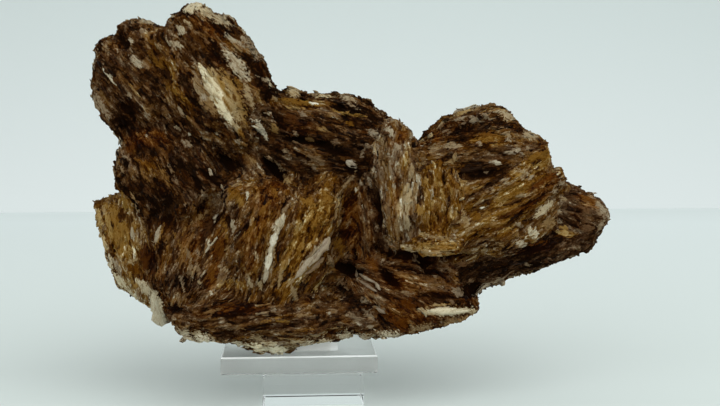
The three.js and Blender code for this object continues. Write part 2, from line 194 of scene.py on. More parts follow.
# Stains and hollows on the display side: x, z, half length, half width and turn in degrees, or None along
# the grain, then how much paler, warmer and rustier they are, and how deep in mm. The deep dark hollows of
# the flank, centre, saddle, pillar, right and under groups are painted shade in cavities and crevices, and
# under the ledge a painted shadow.
stainsAndShade = {
    "crown": [
        (29.5, 80.5, 6, 1.8, None, 0.14, 0.5, 0, 0), (25.5, 90, 7, 2.4, None, 0.1, 0.5, 0, 0),
        (22, 66.5, 5, 3, 0, 0.08, -0.1, 0.6, 0), (40, 98, 8, 3, None, 0.0, 0.2, 0.3, 0),
        (13, 95.5, 3.4, 2.2, -40, -0.32, -0.2, 0, 1.0), (13, 73, 4.5, 4.5, -60, -0.34, -0.3, 0, 1.4),
        (24.5, 87, 3.6, 1.6, None, -0.25, 0, 0, 0.8), (41, 90, 7, 1.6, None, -0.22, 0.1, 0.2, 0.6),
        (8, 84, 7, 2.6, 85, -0.12, -0.2, 0, 0), (32, 104, 5, 1.6, -10, -0.35, 0, 0, 0.5),
        (55, 82, 9, 3, -60, -0.18, 0, 0.15, 0), (58, 88, 6, 2, -50, -0.1, 0.2, 0.2, 0),
    ],
    "flank": [
        (20, 58, 5, 1.5, -50, 0.16, 0.6, 0, 0), (25, 54.5, 7, 1.6, -58, 0.14, 0.45, 0, 0),
        # These two hollows are painted dark for the shade in their cavity.
        (44.6, 59, 4.4, 1.6, -30, -0.3, -0.3, 0, 1.4), (39.7, 54.4, 4, 1.4, -42, -0.42, -0.2, 0, 1.8),
        (33, 57, 9, 4, -56, -0.12, -0.2, 0.1, 0.6), (24, 46, 7, 2.4, -50, -0.2, -0.3, 0, 0.6),
        (16, 66, 4, 3, 0, -0.12, -0.2, 0.4, 0),
    ],
    "corner": [
        (9.5, 42, 6, 4.2, -70, 0.2, 0.4, -0.2, 0), (12, 34, 5, 4, -80, 0.16, 0.5, -0.2, 0),
        (14, 41, 3, 1.3, -80, -0.3, 0, 0.2, 0.4), (8.5, 38, 1.6, 0.9, -80, -0.3, 0, 0.2, 0.3),
        (20.5, 29, 4.6, 2.2, 85, -0.22, -0.2, 0.3, 0.5), (18, 24, 3, 1.6, 0, -0.1, 0, 0.4, 0),
    ],
    "centre": [
        (49.5, 51, 5, 4, 0, 0.12, 0.3, 0.1, 0), (69.5, 42, 10, 5.6, 60, 0.15, 0.7, -0.1, 0),
        (57, 50, 6, 3.6, 50, -0.04, -0.1, 0.5, 0),
        (63, 27, 8, 4.5, 70, 0.14, 0.5, -0.1, 0), (55, 41, 8, 2.4, 45, -0.04, 0.4, 0.4, 0),
        (42, 34.5, 5, 1.9, 80, -0.1, 0, 0.9, 0.3), (40, 26, 3.8, 1.8, 80, -0.04, 0.1, 0.9, 0.2),
        (38.4, 40.5, 2.8, 1.8, 70, -0.26, -0.1, 0.4, 0.5), (46, 23.3, 4.6, 1.1, 4, 0.26, 0.5, 0, 0),
        # The first row is a hollow painted dark for the shade in its crevice.
        (57.6, 57.6, 4.8, 1.3, -38, -0.55, -0.3, 0, 4.0), (67.2, 44.4, 1.8, 0.8, 65, -0.4, 0, 0, 0.8),
        (81, 41, 10, 2.6, 92, -0.08, 0, 0.7, 0.4), (53, 33, 6, 3, 50, -0.12, 0.1, 0.3, 0.3),
        (31, 24, 5, 3, 10, -0.24, -0.4, 0, 0.5), (33, 34, 6, 4, 80, 0.04, 0, 0.3, 0),
    ],
    "saddle": [
        (66, 77.3, 9, 2.0, 0, 0.24, 0.6, 0, 0), (80, 76.5, 8, 2.4, -20, -0.3, 0, 0, 0.6),
        # The second row here and the first on the next line are crevices painted dark for their shade.
        (64, 70, 7, 3, -10, -0.14, 0, 0.4, 0), (65.4, 66.1, 6.8, 1.4, -8, -0.55, -0.2, 0, 3.4),
        (75.4, 63.4, 5.4, 1.6, -25, -0.45, -0.2, 0, 2.6), (84, 70, 5, 2, -25, -0.1, 0.1, 0.1, 0),
        (78, 57.5, 6, 2, -20, -0.25, -0.1, 0.1, 0.8), (62, 62.5, 5, 1.6, -20, -0.05, 0, 0.2, 0),
    ],
    "pillar": [
        # The first row is the crevice beside the pillar, painted dark for its shade.
        (88.4, 44, 8, 1.3, 96, -0.34, -0.3, 0, 2.0), (95.5, 67, 2.4, 1.8, 60, -0.16, 0.2, 0.7, 0),
        (97, 60, 2.4, 1, 90, 0.1, 0.7, 0, 0), (93, 46, 9, 2, 90, 0.02, 0.3, 0.4, 0),
    ],
    "right": [
        (120.5, 66.5, 6, 2.6, 5, 0.08, 0.5, 0, 0), (112, 71, 8, 2.2, 30, -0.18, -0.1, 0.3, 0),
        # The second row here and the first on the next line are hollows painted dark for their shade.
        (104, 66, 3.6, 2.6, 30, -0.12, 0, 0.7, 0), (119.5, 56, 5.6, 1.5, 6, -0.42, -0.2, 0, 1.5),
        (107.9, 54.6, 1.9, 0.7, 90, -0.5, 0, 0, 1.2), (128, 50, 9, 2, 28, 0.08, 0.6, 0, 0),
        (140, 52, 6, 2, 30, -0.14, 0, 0.4, 0), (133, 46, 7, 1.6, 30, -0.12, 0.2, 0.4, 0),
        (137, 60, 4.6, 2.4, 15, 0.12, 0.9, -0.2, 0), (122, 40, 9, 2.4, 30, -0.06, 0.2, 0.2, 0),
        (107, 41.5, 4, 3, 90, -0.08, 0.4, 0.3, 0.3), (126, 71.5, 4, 1.6, -20, -0.3, 0, 0, 0.5),
    ],
    "tip": [
        (148, 42, 3, 3, 0, -0.2, -0.1, 0, 1.0), (153, 47, 4, 2, -30, 0.06, -0.1, 0.6, 0),
        (146, 37, 6, 1.2, 4, 0.2, 0.9, -0.2, 0), (137, 33, 7, 1.8, 10, -0.14, 0, 0.5, 0),
    ],
    "under": [
        # The dark rows with a depth below are painted shadow under the ledge and painted shade in the clefts
        # of the underside; the rusty and ochre rows are the stone's own stains.
        (97.5, 31.2, 7.5, 1.2, -14, -0.5, -0.2, 0, 2.4), (108, 30.6, 6, 1.1, 4, -0.45, -0.2, 0, 2.0),
        (80.3, 27, 3.6, 1.8, -6, -0.5, -0.2, 0, 3.2), (81.6, 31, 2.8, 0.7, 84, -0.4, -0.2, 0, 1.6),
        (91.8, 25.6, 3.8, 1.6, -38, -0.55, -0.2, 0, 3.2), (100, 27.6, 7, 1.0, -8, -0.3, -0.2, 0, 1.0),
        (117, 20.4, 5, 1.5, 0, -0.45, 0, 0, 1.8),
        (108, 20, 8, 0.9, -4, -0.35, 0, 0, 1.2), (28, 15.8, 2.8, 1.3, 5, -0.2, -0.2, 0, 0.7),
        (96, 14, 8, 3, -10, -0.1, 0.1, 0.5, 0), (97, 24, 6, 2.4, -10, 0.05, 0.1, 0.6, 0),
        (83, 16, 6, 3, -45, -0.14, -0.3, 0, 0.3), (47, 16.5, 10, 2, 6, -0.12, 0, 0.5, 0),
    ],
}
frontReach = -2.0  # how far back, in mm, the display side's stains and painted shade are at full strength
frontFade = 6  # and how much further they fade
stainAndShadeEdge = {"power": 1.5, "within": 2}  # how sharply they end, and how many half lengths off they are over


def stainsAndShadeAt(points, along, square):
    fields = np.zeros((len(points), 4))
    front = np.clip((frontReach + frontFade - points[:, 1]) / frontFade, 0, 1)
    for x, z, long, wide, turn, *strengths in itertools.chain(*stainsAndShade.values()):
        offset = points - np.array([x, 0, z])
        offset[:, 1] = 0
        near = np.abs(offset).max(axis=1) < stainAndShadeEdge["within"] * long
        if turn is None:
            run, over = (dots(offset[near], vectors[near])[:, 0] for vectors in (along, square))
        else:
            c, s = math.cos(math.radians(turn)), math.sin(math.radians(turn))
            run, over = offset[near] @ np.array([c, 0, s]), offset[near] @ np.array([-s, 0, c])
        share = np.exp(-(((run / long) ** 2 + (over / wide) ** 2) ** stainAndShadeEdge["power"])) * front[near]
        fields[near] += share[:, None] * np.array(strengths)
    return fields


# Ragged patches of clearer or darker mineral on the display side: x and z of each end and the width in mm,
# then how pale, warm and rusty, and how ragged. Later ones lie over earlier ones.
patches = {
    "crown": [
        (34.6, 85, 42, 72, 4.6, 0.58, 0.5, 0.1, 0.35), (43.4, 86.6, 50.4, 70, 5.8, 0.62, 0.8, 0, 0.3),
        (39.2, 87.4, 48.6, 70.6, 6.8, 0.72, 0.6, 0, 0.2), (36.2, 88.8, 47.2, 69, 4.4, 0.92, 0.5, 0, 0.12),
        (37.6, 83.4, 41.4, 76.4, 1.8, 0.84, 0.4, 0, 0.2), (42, 84.4, 45.6, 78, 1.5, 0.6, 0.9, 0, 0.2),
        (43.6, 78.4, 46, 73.8, 0.9, 0.5, 0.8, 0.2, 0.2), (40.8, 79, 42.2, 76.4, 0.7, 0.66, 0.8, 0.1, 0.2),
        (39, 86.6, 40.4, 84.2, 0.7, 0.7, 0.7, 0, 0.2), (46.6, 79.4, 47.4, 76.6, 0.9, 0.36, 0.6, 0.2, 0.2),
        (3.4, 96.4, 5.6, 93, 1.8, 0.7, 0.2, 0, 0.25), (1.6, 88.6, 1.6, 84.6, 1.7, 0.74, 0.1, 0, 0.25),
        (2.4, 79.6, 4.4, 76, 1.7, 0.7, 0.1, 0, 0.25), (48.5, 97, 50.4, 95, 1.6, 0.74, 0.2, 0, 0.25),
        (46, 71.5, 49.4, 66, 2.2, 0.74, 0.5, 0, 0.2), (34.6, 84.6, 37.4, 77, 2.6, 0.66, 0.3, 0, 0.3),
        (37.4, 79.2, 38.8, 77.2, 1.8, 0.72, 0, 0, 0.3), (47.8, 69, 49.4, 65.8, 1.8, 0.52, 1.2, 0.3, 0.2),
        (44.2, 92, 51.4, 82.6, 4.8, 0.78, 0.2, 0, 0.25), (47.4, 84.4, 49.4, 80.4, 1.4, 0.5, 1.1, 0, 0.2),
        (49.8, 83, 52.4, 74, 2.4, 0.7, 0.4, 0, 0.25), (52.8, 72.2, 56, 65, 2.2, 0.84, 0.1, 0, 0.12),
        (25.4, 103.8, 28.4, 102, 1.8, 0.74, 0.1, 0, 0.2),
        (43.8, 97.6, 47.6, 93.6, 2.2, 0.72, 0.1, 0, 0.25), (46.6, 96, 50, 92, 1.8, 0.7, 0.1, 0, 0.25),
        (49.4, 96.6, 52, 93.4, 1.4, 0.68, 0.1, 0, 0.2), (42.2, 94, 45.2, 92, 1.6, 0.64, 0.1, 0, 0.3),
        (12.6, 101.4, 18.6, 101.8, 3.4, 0.76, 0.4, 0, 0.2), (18.8, 100.8, 24, 100, 1.8, 0.7, 0.1, 0, 0.2),
        (17.6, 99, 20, 97.4, 1.4, 0.68, 0.1, 0, 0.3), (15.8, 90.6, 19.4, 86.8, 3.0, 0.74, 0.1, 0, 0.25),
        (14.8, 96.8, 16.4, 94, 1.4, 0.76, 0.1, 0, 0.2), (7.4, 94, 9.2, 90.4, 1.8, 0.64, 0.3, 0, 0.3),
        (9.6, 85.6, 10.2, 82.8, 1.3, 0.84, 0.1, 0, 0.2), (2, 92, 2.6, 81, 2.6, 0.7, 0.2, 0, 0.25),
        (3.6, 80.6, 8, 71.6, 2.2, 0.66, 0.1, 0, 0.25), (26.8, 95, 32, 92.6, 2.0, 0.74, 0.2, 0, 0.15),
        (29.2, 99.4, 32.8, 96.6, 2.6, 0.78, 0.2, 0, 0.15), (25.6, 98.6, 31.4, 94.6, 0.9, 0.66, 0.2, 0, 0.3),
        (31.8, 101, 34.6, 98.8, 1.4, 0.7, 0.3, 0, 0.2), (22.8, 94.4, 25.6, 92.6, 1.8, 0.66, 0.3, 0, 0.35),
        (27, 81.6, 32.4, 78, 2, 0.52, 1.0, 0, 0.3), (21, 91.6, 25.6, 86, 2.4, 0.46, 0.9, 0.2, 0.35),
        (29.4, 76.6, 32, 72, 1.4, 0.66, 0.1, 0, 0.25), (28, 70, 30.6, 68.8, 1.5, 0.72, 0.2, 0, 0.25),
        (31.4, 65.8, 33.2, 63.8, 1.6, 0.66, 0.1, 0, 0.3), (14.8, 80, 16, 78, 1.4, 0.66, 0.1, 0, 0.25),
        (53.4, 84, 57.6, 83, 1.4, 0.66, 0.1, 0, 0.3), (56.2, 74.4, 57, 73, 1.4, 0.74, 0, 0.3, 0.2),
        (57, 70.8, 58.8, 67.4, 2.4, 0.6, 0.7, 0, 0.2), (24, 86.8, 29, 82.6, 2.2, 0.2, 0.1, 0.2, 0.3),
        (31, 91, 35.4, 86.4, 2.0, 0.2, 0.6, 0.1, 0.3), (34, 97, 40, 91, 2.2, 0.28, 0.5, 0.3, 0.3),
    ],
    "flank": [
        (11, 66, 11.2, 61, 1.8, 0.7, 0.1, 0, 0.25), (11.6, 58.4, 14, 56, 2.2, 0.62, 0.1, 0.3, 0.25),
        (12.4, 61.2, 15.2, 60.4, 1.2, 0.64, 0, 0, 0.2), (17.6, 60.4, 24, 57.4, 2, 0.42, 1.0, 0.4, 0.35),
        (24.6, 59.6, 28.4, 51.4, 2, 0.5, 0.6, 0, 0.4), (26.4, 61, 30.6, 53.8, 0.9, 0.56, 0.2, 0, 0.3),
        (18.6, 57.6, 23, 52, 1.2, 0.5, 0.6, 0, 0.3), (15.6, 50.8, 17.8, 46.6, 1.1, 0.58, 0.4, 0, 0.3),
        (16.9, 47, 17.8, 43, 1.0, 0.6, 0.2, 0, 0.3), (13.4, 63.6, 16.8, 63.6, 3.6, 0.28, 0, 0.6, 0.2),
        (19.6, 68, 20.4, 66, 1, 0.8, 0.1, 0, 0.2), (32.4, 68, 33.4, 66.8, 1.2, 0.78, 0.1, 0, 0.2),
        (31, 65.6, 34, 63.8, 1.8, 0.66, 0.1, 0, 0.3), (36.2, 51.4, 38.8, 47.8, 1.4, 0.56, 0.1, 0.2, 0.4),
        (32.6, 40.4, 39.6, 45.6, 1.4, 0.56, 0.5, 0, 0.35), (42.4, 53.4, 43.8, 50.8, 1.6, 0.74, 0.2, 0, 0.3),
        (45.4, 53, 49.4, 47, 4, 0.46, 1.1, 0, 0.3), (48, 49, 50.2, 47, 2.2, 0.56, 1.2, 0, 0.2),
        (47.6, 57.8, 50.4, 53, 1.2, 0.56, 0.2, 0, 0.35), (25, 43, 32, 49, 2.4, 0.2, -0.2, 0.1, 0.35),
        (38.7, 57.4, 40.9, 55.6, 1.4, 0.74, 0, 0, 0.1),
        (50.9, 51, 51.4, 49.2, 1.3, 0.84, 0, 0, 0.12),
    ],
    "corner": [
        (8.9, 45.7, 11.5, 31.5, 7.5, 0.56, 1.0, 0, 0.12), (13, 51, 13.7, 43.5, 2.2, 0.55, 0.9, 0, 0.2),
        (11.5, 45.4, 11.7, 40.9, 2.4, 0.22, 0.5, 0.2, 0.1), (15, 44.2, 15.4, 41, 1.5, 0.3, 0.5, 0.1, 0.15),
        (8.5, 41.3, 8.8, 38.8, 1.6, 0.28, 0.5, 0.1, 0.15), (10.3, 34.6, 10.8, 32.8, 1.2, 0.3, 0.5, 0, 0.15),
        (14.2, 36, 14.8, 33.4, 1.2, 0.28, 0.5, 0, 0.15), (11.6, 31, 12.2, 29.2, 1.0, 0.28, 0.5, 0, 0.15),
        (18.4, 35.6, 18.8, 26.5, 4.0, 0.27, 0.1, 0.6, 0.2), (13.2, 29, 17, 25.5, 4.5, 0.36, 0.9, 0.3, 0.2),
        (9, 31.6, 12.3, 29.8, 1.1, 0.68, 0.5, 0, 0.15), (12.5, 28.6, 17.2, 30.2, 1.5, 0.7, 0.5, 0, 0.15),
        (8.6, 30.6, 11.4, 24, 2.6, 0.66, 0, 0, 0.25), (6, 45, 8.3, 36, 1.6, 0.7, 0.8, 0, 0.2),
        (4.4, 47.6, 9.4, 47.8, 2.2, 0.45, 0.2, 0.3, 0.3), (4.6, 46, 6.2, 43.4, 2, 0.66, 0.5, 0.2, 0.2),
        (15.2, 24, 20.5, 18.6, 4.4, 0.84, 0.3, 0, 0.15), (13.6, 23.6, 17, 19.6, 2.2, 0.6, 0.8, 0, 0.2),
        (22, 33, 26, 41, 2.0, 0.5, 0.8, 0.1, 0.35), (15, 40.2, 15.8, 35.4, 1.8, 0.76, 0.2, 0, 0.08),
        (24.7, 40.8, 22.2, 34.4, 2.2, 0.73, 0.1, 0, 0.14), (24.6, 11.4, 29.4, 9.8, 1.8, 0.6, 0.3, 0, 0.3),
        (28.4, 9.4, 33.6, 8.4, 2.6, 0.84, 0.3, 0, 0.25), (32.6, 8.6, 38.8, 7, 2.2, 0.76, 0.4, 0, 0.3),
        (31, 11.4, 34, 10.4, 1.2, 0.6, 0.5, 0, 0.35), (38, 8.4, 41, 7.4, 1.2, 0.56, 0.4, 0.1, 0.35),
    ],
    "lowerLeft": [
        (38.4, 42.6, 38.6, 37.6, 3.6, 0.25, 0.1, 0.3, 0.12),
        (41.6, 37.6, 42.8, 31, 3.4, 0.34, 0.7, 0.5, 0.14),
        (39.6, 29.4, 40.6, 23.4, 3.4, 0.36, 0.8, 0.5, 0.16), (36.8, 35.6, 38.4, 31, 2.6, 0.22, 0, 0, 0.25),
        (38.2, 37.3, 40, 34.6, 2, 0.78, 0.15, 0, 0.2), (46, 43.5, 47.6, 37.8, 2.2, 0.74, 0.15, 0, 0.15),
        (40.3, 44.2, 40.9, 41.8, 1.2, 0.74, 0.1, 0, 0.1), (42, 29.2, 45.4, 27.2, 1.8, 0.68, 0.3, 0, 0.35),
        (33.4, 33, 33.8, 24.6, 1.5, 0.6, 0.3, 0, 0.35), (32.6, 34.6, 33.2, 30, 1.2, 0.58, 0.3, 0, 0.3),
        (35.4, 31, 36.2, 25, 1.4, 0.56, 0.3, 0, 0.3), (42.4, 24.6, 49.4, 24.4, 1.6, 0.6, 1.0, 0, 0.3),
        (30.2, 27, 31.2, 20.5, 1.1, 0.62, 0.1, 0, 0.25), (39.4, 22.2, 40.4, 20.2, 1.0, 0.8, 0.1, 0, 0.2),
        (34.8, 25.4, 37.4, 23.4, 1.4, 0.66, 0.3, 0, 0.2), (48.2, 22.8, 49.2, 21.6, 1.2, 0.66, 0.2, 0, 0.2),
        (28, 39.6, 31.4, 33.6, 1.6, 0.5, 0.7, 0.1, 0.4), (43, 43, 45, 36, 2.4, 0.5, 0.8, 0, 0.4),
    ],
    "centre": [
        (61.4, 44.6, 59.4, 40, 2.8, 0.76, 0.3, 0, 0.15), (59.9, 41, 55.4, 24, 2.6, 0.72, 0.4, 0, 0.22),
        (50.8, 26.8, 52, 22.4, 1.5, 0.7, 0.3, 0, 0.12), (53.8, 26.2, 54.8, 21.6, 1.5, 0.7, 0.4, 0, 0.12),
        (63.2, 24.2, 65, 18.4, 1.8, 0.66, 0.4, 0, 0.14), (66, 49.2, 70.4, 47, 3, 0.52, 1.2, 0, 0.25),
        (66.4, 45, 67.2, 42.2, 1.6, 0.24, 0.9, 0, 0.15),
        (63.4, 48.2, 61, 44.6, 1.4, 0.6, 0.2, 0, 0.3), (62, 45, 58.6, 38.6, 2.4, 0.84, 0.25, 0, 0.15),
        (53.2, 34.4, 54.4, 30.4, 1.2, 0.7, 0.3, 0, 0.15), (64.8, 26, 61.8, 23, 1.2, 0.66, 0.4, 0, 0.2),
        (76.4, 48.6, 82.6, 56.6, 1.4, 0.62, 0.35, 0, 0.2), (78, 49.4, 76, 42, 2.2, 0.62, 0.4, 0, 0.25),
        (81.4, 43.4, 79, 38.2, 1.0, 0.56, 0.3, 0.3, 0.3), (60.6, 55.8, 63, 52.4, 2.2, 0.66, 0.6, 0, 0.3),
        (55.6, 60.8, 61.6, 56, 1.2, 0.62, 0.3, 0, 0.25), (59.8, 63, 62.8, 61, 2, 0.64, 0.2, 0, 0.3),
        (60.6, 28.6, 59.6, 22, 1.6, 0.66, 0.5, 0, 0.25),
        (82.4, 33.4, 83.8, 31.6, 1.8, 0.38, 0.3, 1.1, 0.15),
        (82, 51.8, 82.2, 49.8, 1.4, 0.78, 0, 0, 0.15), (83.2, 54, 84, 51.6, 1.4, 0.7, 0, 0, 0.2),
        (76.6, 37, 78, 30, 3, 0.42, 0.9, 0.1, 0.3), (78.2, 30, 81.6, 31.4, 1.6, 0.46, 0, 0.3, 0.3),
        (67.6, 38, 65.4, 32, 1.6, 0.56, 1.0, 0, 0.3), (54, 44, 58, 49, 1.8, 0.46, 1.0, 0.4, 0.35),
        (50, 38, 54, 43, 1.6, 0.44, 1.0, 0.3, 0.35), (71, 44, 69.4, 39.6, 1.6, 0.54, 1.0, 0, 0.3),
        (57, 52.6, 60, 49, 1.6, 0.46, 1.1, 0.4, 0.35), (72.4, 51.4, 76, 47, 2.2, 0.52, 1.0, 0, 0.3),
        (47, 33, 50, 37.6, 2.0, 0.26, 0.5, 0.4, 0.3), (68, 24, 72, 27, 2.4, 0.28, 0.6, 0.5, 0.3),
    ],
    "saddle": [
        (58.6, 78.2, 71.4, 77, 3.2, 0.5, 1.2, 0, 0.25), (60.4, 76, 67, 75.2, 1.2, 0.66, 0.7, 0, 0.3),
        # A painted glint: a small white highlight laid on as a pale patch.
        (67.8, 77.2, 71.4, 76.8, 0.9, 0.96, 0.1, 0, 0.1),
        (61.2, 80.6, 65.2, 79.8, 1.8, 0.76, 0.5, 0, 0.2), (57.6, 79, 59, 77, 1.8, 0.66, 0.4, 0, 0.3),
        (71, 79, 78, 78.6, 0.8, 0.6, 0.2, 0, 0.3), (78.2, 78.2, 83.8, 75.2, 1.4, 0.6, 0.1, 0, 0.3),
        (74, 74.8, 86.6, 72.8, 1.4, 0.6, 1.0, 0, 0.25), (64.4, 74.8, 67.8, 72.6, 1.8, 0.58, 0, 0, 0.2),
        (61, 73.6, 65, 70.4, 4.4, 0.28, 0.2, 0.5, 0.2), (70.2, 69.6, 74.6, 68.2, 1.6, 0.58, 0.6, 0, 0.3),
        (63, 68.8, 65.2, 67.4, 1.4, 0.6, 0.1, 0, 0.2), (67, 66.8, 70.6, 66, 1.4, 0.54, 0.5, 0, 0.3),
        (59.4, 63, 62.6, 61.2, 1.8, 0.64, 0.2, 0, 0.3), (67.4, 61.4, 73, 58.6, 3, 0.56, 0.25, 0, 0.3),
        (74.4, 65.8, 78, 64.4, 2, 0.5, 0.1, 0, 0.35), (76, 70, 83, 66.6, 1.6, 0.5, 0.3, 0.3, 0.4),
        (79, 71.6, 82, 70, 1.8, 0.44, 1.0, 0, 0.3), (68.4, 58, 71, 56.4, 1.2, 0.56, 0, 0, 0.3),
    ],
    "pillar": [
        (85.6, 69.4, 88.8, 66.4, 3.4, 0.7, 0, 0, 0.25), (91, 70.4, 93.2, 66.6, 2.4, 0.74, 0.1, 0, 0.2),
        (93.4, 65.4, 95, 62.4, 2.2, 0.68, 0.1, 0, 0.25), (94.6, 68.6, 96.4, 67, 2, 0.38, 0.2, 0.9, 0.2),
        (93.4, 71, 95, 69.4, 1.6, 0.6, 0.2, 0, 0.25), (85.6, 64.6, 83.6, 60.2, 1.4, 0.6, 0, 0, 0.3),
        (88.6, 65, 88.8, 62.6, 1.4, 0.66, 0.1, 0, 0.25), (91.8, 60, 92.4, 55.4, 1.6, 0.6, 0.1, 0, 0.3),
        (98.6, 68.6, 99.6, 66.4, 1.4, 0.64, 0, 0, 0.3), (98.4, 59.6, 98.8, 54.8, 2.2, 0.68, 0.4, 0, 0.25),
        (92.8, 54, 93.4, 51.4, 1.6, 0.7, 0, 0, 0.25), (97, 53, 98, 48.8, 2.6, 0.72, 0.5, 0, 0.2),
        (104.2, 52, 104.8, 49.4, 1.4, 0.72, 0, 0, 0.25), (96.6, 52, 97.4, 44, 2.8, 0.74, 0.45, 0, 0.2),
        (96.4, 44.6, 97.8, 39, 2.4, 0.76, 0.4, 0, 0.2), (100, 47.6, 101.4, 43.8, 2.6, 0.6, 0.9, 0, 0.2),
        (96.6, 35, 98.4, 33, 3, 0.76, 0.5, 0, 0.12), (100.6, 41.4, 103, 39, 3, 0.32, 0.8, 0.1, 0.2),
        (101.6, 53, 102, 47, 1.2, 0.24, 0.4, 0.1, 0.25), (94, 46, 94.4, 38, 1.8, 0.58, 0.3, 0.2, 0.35),
        (88.6, 58.6, 89.4, 53.4, 1.6, 0.54, 0.1, 0.1, 0.35), (95.6, 61.4, 96, 57, 1.4, 0.5, 0.8, 0.2, 0.35),
        (92, 49, 91.6, 43, 1.6, 0.52, 0.2, 0.2, 0.35), (100.4, 62.6, 100.8, 57, 1.2, 0.56, 0.4, 0, 0.3),
    ],
    "right": [
        # The first two rows are painted glints: small white highlights laid on as pale patches.
        (121.4, 59.3, 125.2, 58.8, 1.2, 0.94, 0, 0, 0.1), (118.2, 45.6, 120.4, 46.2, 0.8, 0.92, 0, 0, 0.1),
        (102.6, 62.8, 107.6, 63.6, 2.6, 0.64, 0.3, 0, 0.3),
        (107.6, 64, 114.2, 64.2, 2.6, 0.68, 0.25, 0, 0.25),
        (107.8, 59, 112.6, 60.4, 1.6, 0.66, 0.5, 0, 0.25), (102.2, 61, 103, 58.8, 1.4, 0.6, 0.4, 0, 0.25),
        (119.4, 74.6, 122.4, 73, 2.4, 0.66, 0.1, 0, 0.2), (115.8, 71.6, 119, 73, 2.4, 0.66, 0, 0, 0.2),
        (122, 71, 127.6, 69.6, 1.6, 0.6, 0.2, 0, 0.35), (125.8, 68.2, 128.6, 67, 2, 0.66, 0.3, 0, 0.2),
        (126, 66.6, 128.4, 65.6, 1.6, 0.72, 0, 0, 0.2), (126.8, 61.8, 131.4, 63.6, 2, 0.7, 0.05, 0, 0.25),
        # The second row is a grey scale with a painted glint on it.
        (117.4, 65.4, 119.4, 64.6, 2, 0.66, 0.1, 0, 0.2), (121.4, 59.6, 125, 58.8, 1.6, 0.8, 0, 0, 0.2),
        (119, 57.4, 121.6, 56.2, 1.6, 0.66, 0, 0, 0.25), (124.8, 53.8, 127.6, 55, 1.3, 0.7, 0.1, 0, 0.25),
        (132.6, 54.2, 135.6, 55.6, 1.4, 0.7, 0, 0, 0.25),
        (118, 67.8, 124.6, 67.6, 1.8, 0.42, 1.2, 0.4, 0.3),
        (132.8, 60.2, 139.4, 61.4, 3, 0.5, 1.2, 0, 0.12), (139.8, 62, 141, 56.6, 1.3, 0.7, 0.5, 0, 0.15),
        (134.4, 58.6, 138, 60, 1.6, 0.22, 0.3, 0.1, 0.25), (113.4, 57.4, 118.6, 57, 3, 0.14, 0, 0, 0.25),
        (119, 57, 124, 57.6, 1.2, 0.16, 0.1, 0, 0.25), (100.6, 64.6, 104, 65.6, 3, 0.32, 0.2, 0.9, 0.25),
        (113.6, 45.4, 115.6, 38.4, 2.6, 0.66, 0.5, 0, 0.25), (115.8, 44, 119, 43, 3, 0.46, 1.2, 0, 0.15),
        (116, 46.4, 118.2, 45.2, 1.2, 0.2, 0.3, 0.1, 0.2), (121, 46.4, 139, 56, 1.6, 0.54, 1.2, 0, 0.35),
        (119.4, 41.4, 133, 48.6, 1.4, 0.5, 1.1, 0, 0.35), (126.6, 49.4, 132.4, 52.4, 2, 0.52, 1.1, 0, 0.35),
        (128.6, 49, 132.4, 50.4, 1.4, 0.66, 0.3, 0, 0.3), (131.4, 50.2, 141, 55.6, 2.4, 0.3, 0.3, 0.7, 0.3),
        (122, 42, 132, 46, 1.8, 0.3, 0.5, 0.5, 0.35), (134.6, 42.4, 141.6, 47.8, 2.6, 0.8, 0.35, 0, 0.2),
        (138, 42, 142.6, 40, 4.6, 0.62, 0.5, 0.3, 0.12), (133.6, 40, 136.4, 36, 3.4, 0.84, 0.3, 0, 0.12),
        (129.4, 35.6, 134, 33.6, 2.8, 0.76, 0.1, 0, 0.2), (143.4, 48.6, 146.6, 47.4, 2, 0.66, 0.3, 0, 0.3),
        (142.8, 41.6, 145.6, 40.2, 1.6, 0.62, 0, 0, 0.25), (141, 56.6, 146, 57, 3, 0.34, 0.2, 0.8, 0.12),
        (138.8, 54.2, 143.8, 56.4, 2.6, 0.34, 0.2, 0.8, 0.2),
        (141.4, 52.4, 146, 53.6, 2, 0.66, 0.1, 0, 0.25),
        (139.6, 50.4, 142.8, 51, 1.2, 0.66, 0.1, 0, 0.25), (129.2, 58, 131.6, 56, 1.4, 0.68, 0.3, 0, 0.25),
        (125, 54, 127.6, 52.6, 1.8, 0.72, 0.3, 0, 0.25), (129.2, 41.4, 132, 40, 1.8, 0.66, 0.1, 0, 0.25),
        (130.6, 38.6, 133, 37.4, 1.8, 0.3, 0.5, 0, 0.2), (124.6, 35.4, 126.6, 33.6, 1.8, 0.62, 0.5, 0, 0.3),
        (112, 70.4, 116, 71.6, 1.4, 0.58, 0, 0.1, 0.35), (107, 68, 110, 69.6, 1.6, 0.56, 0, 0.1, 0.35),
        (111, 66.6, 116, 67.4, 1.4, 0.2, 0.3, 0.1, 0.3), (123, 62.6, 126, 61.6, 1.8, 0.2, 0.2, 0, 0.3),
    ],
    "ledge": [
        (99.2, 34.4, 110.6, 32.6, 3.2, 0.7, 0.55, 0, 0.3),
        (102.2, 38.2, 109.2, 37.8, 1.2, 0.66, 0.4, 0, 0.25),
        (98.6, 36.4, 108, 35.4, 1.2, 0.62, 0.9, 0, 0.25),
        (108.6, 32.4, 111.6, 31.8, 1.4, 0.46, 0.2, 0.8, 0.2),
        (101, 36.9, 108, 36.5, 0.6, 0.3, 0.6, 0, 0.3), (102, 35, 107, 34.6, 0.5, 0.32, 0.6, 0, 0.3),
    ],
    "tip": [
        (142.4, 38.2, 148.8, 36.6, 2.0, 0.74, 1.5, 0, 0.1),
        (150.6, 49.4, 155.4, 46.4, 2.6, 0.42, 0.1, 0.8, 0.2),
        (151, 45.2, 154, 43.6, 3, 0.46, -0.1, 0.4, 0.2),
        (151, 39, 155.4, 38.6, 3.4, 0.42, 0, 0.3, 0.2), (154.5, 44.6, 158.4, 43, 2.4, 0.56, -0.1, 0.3, 0.2),
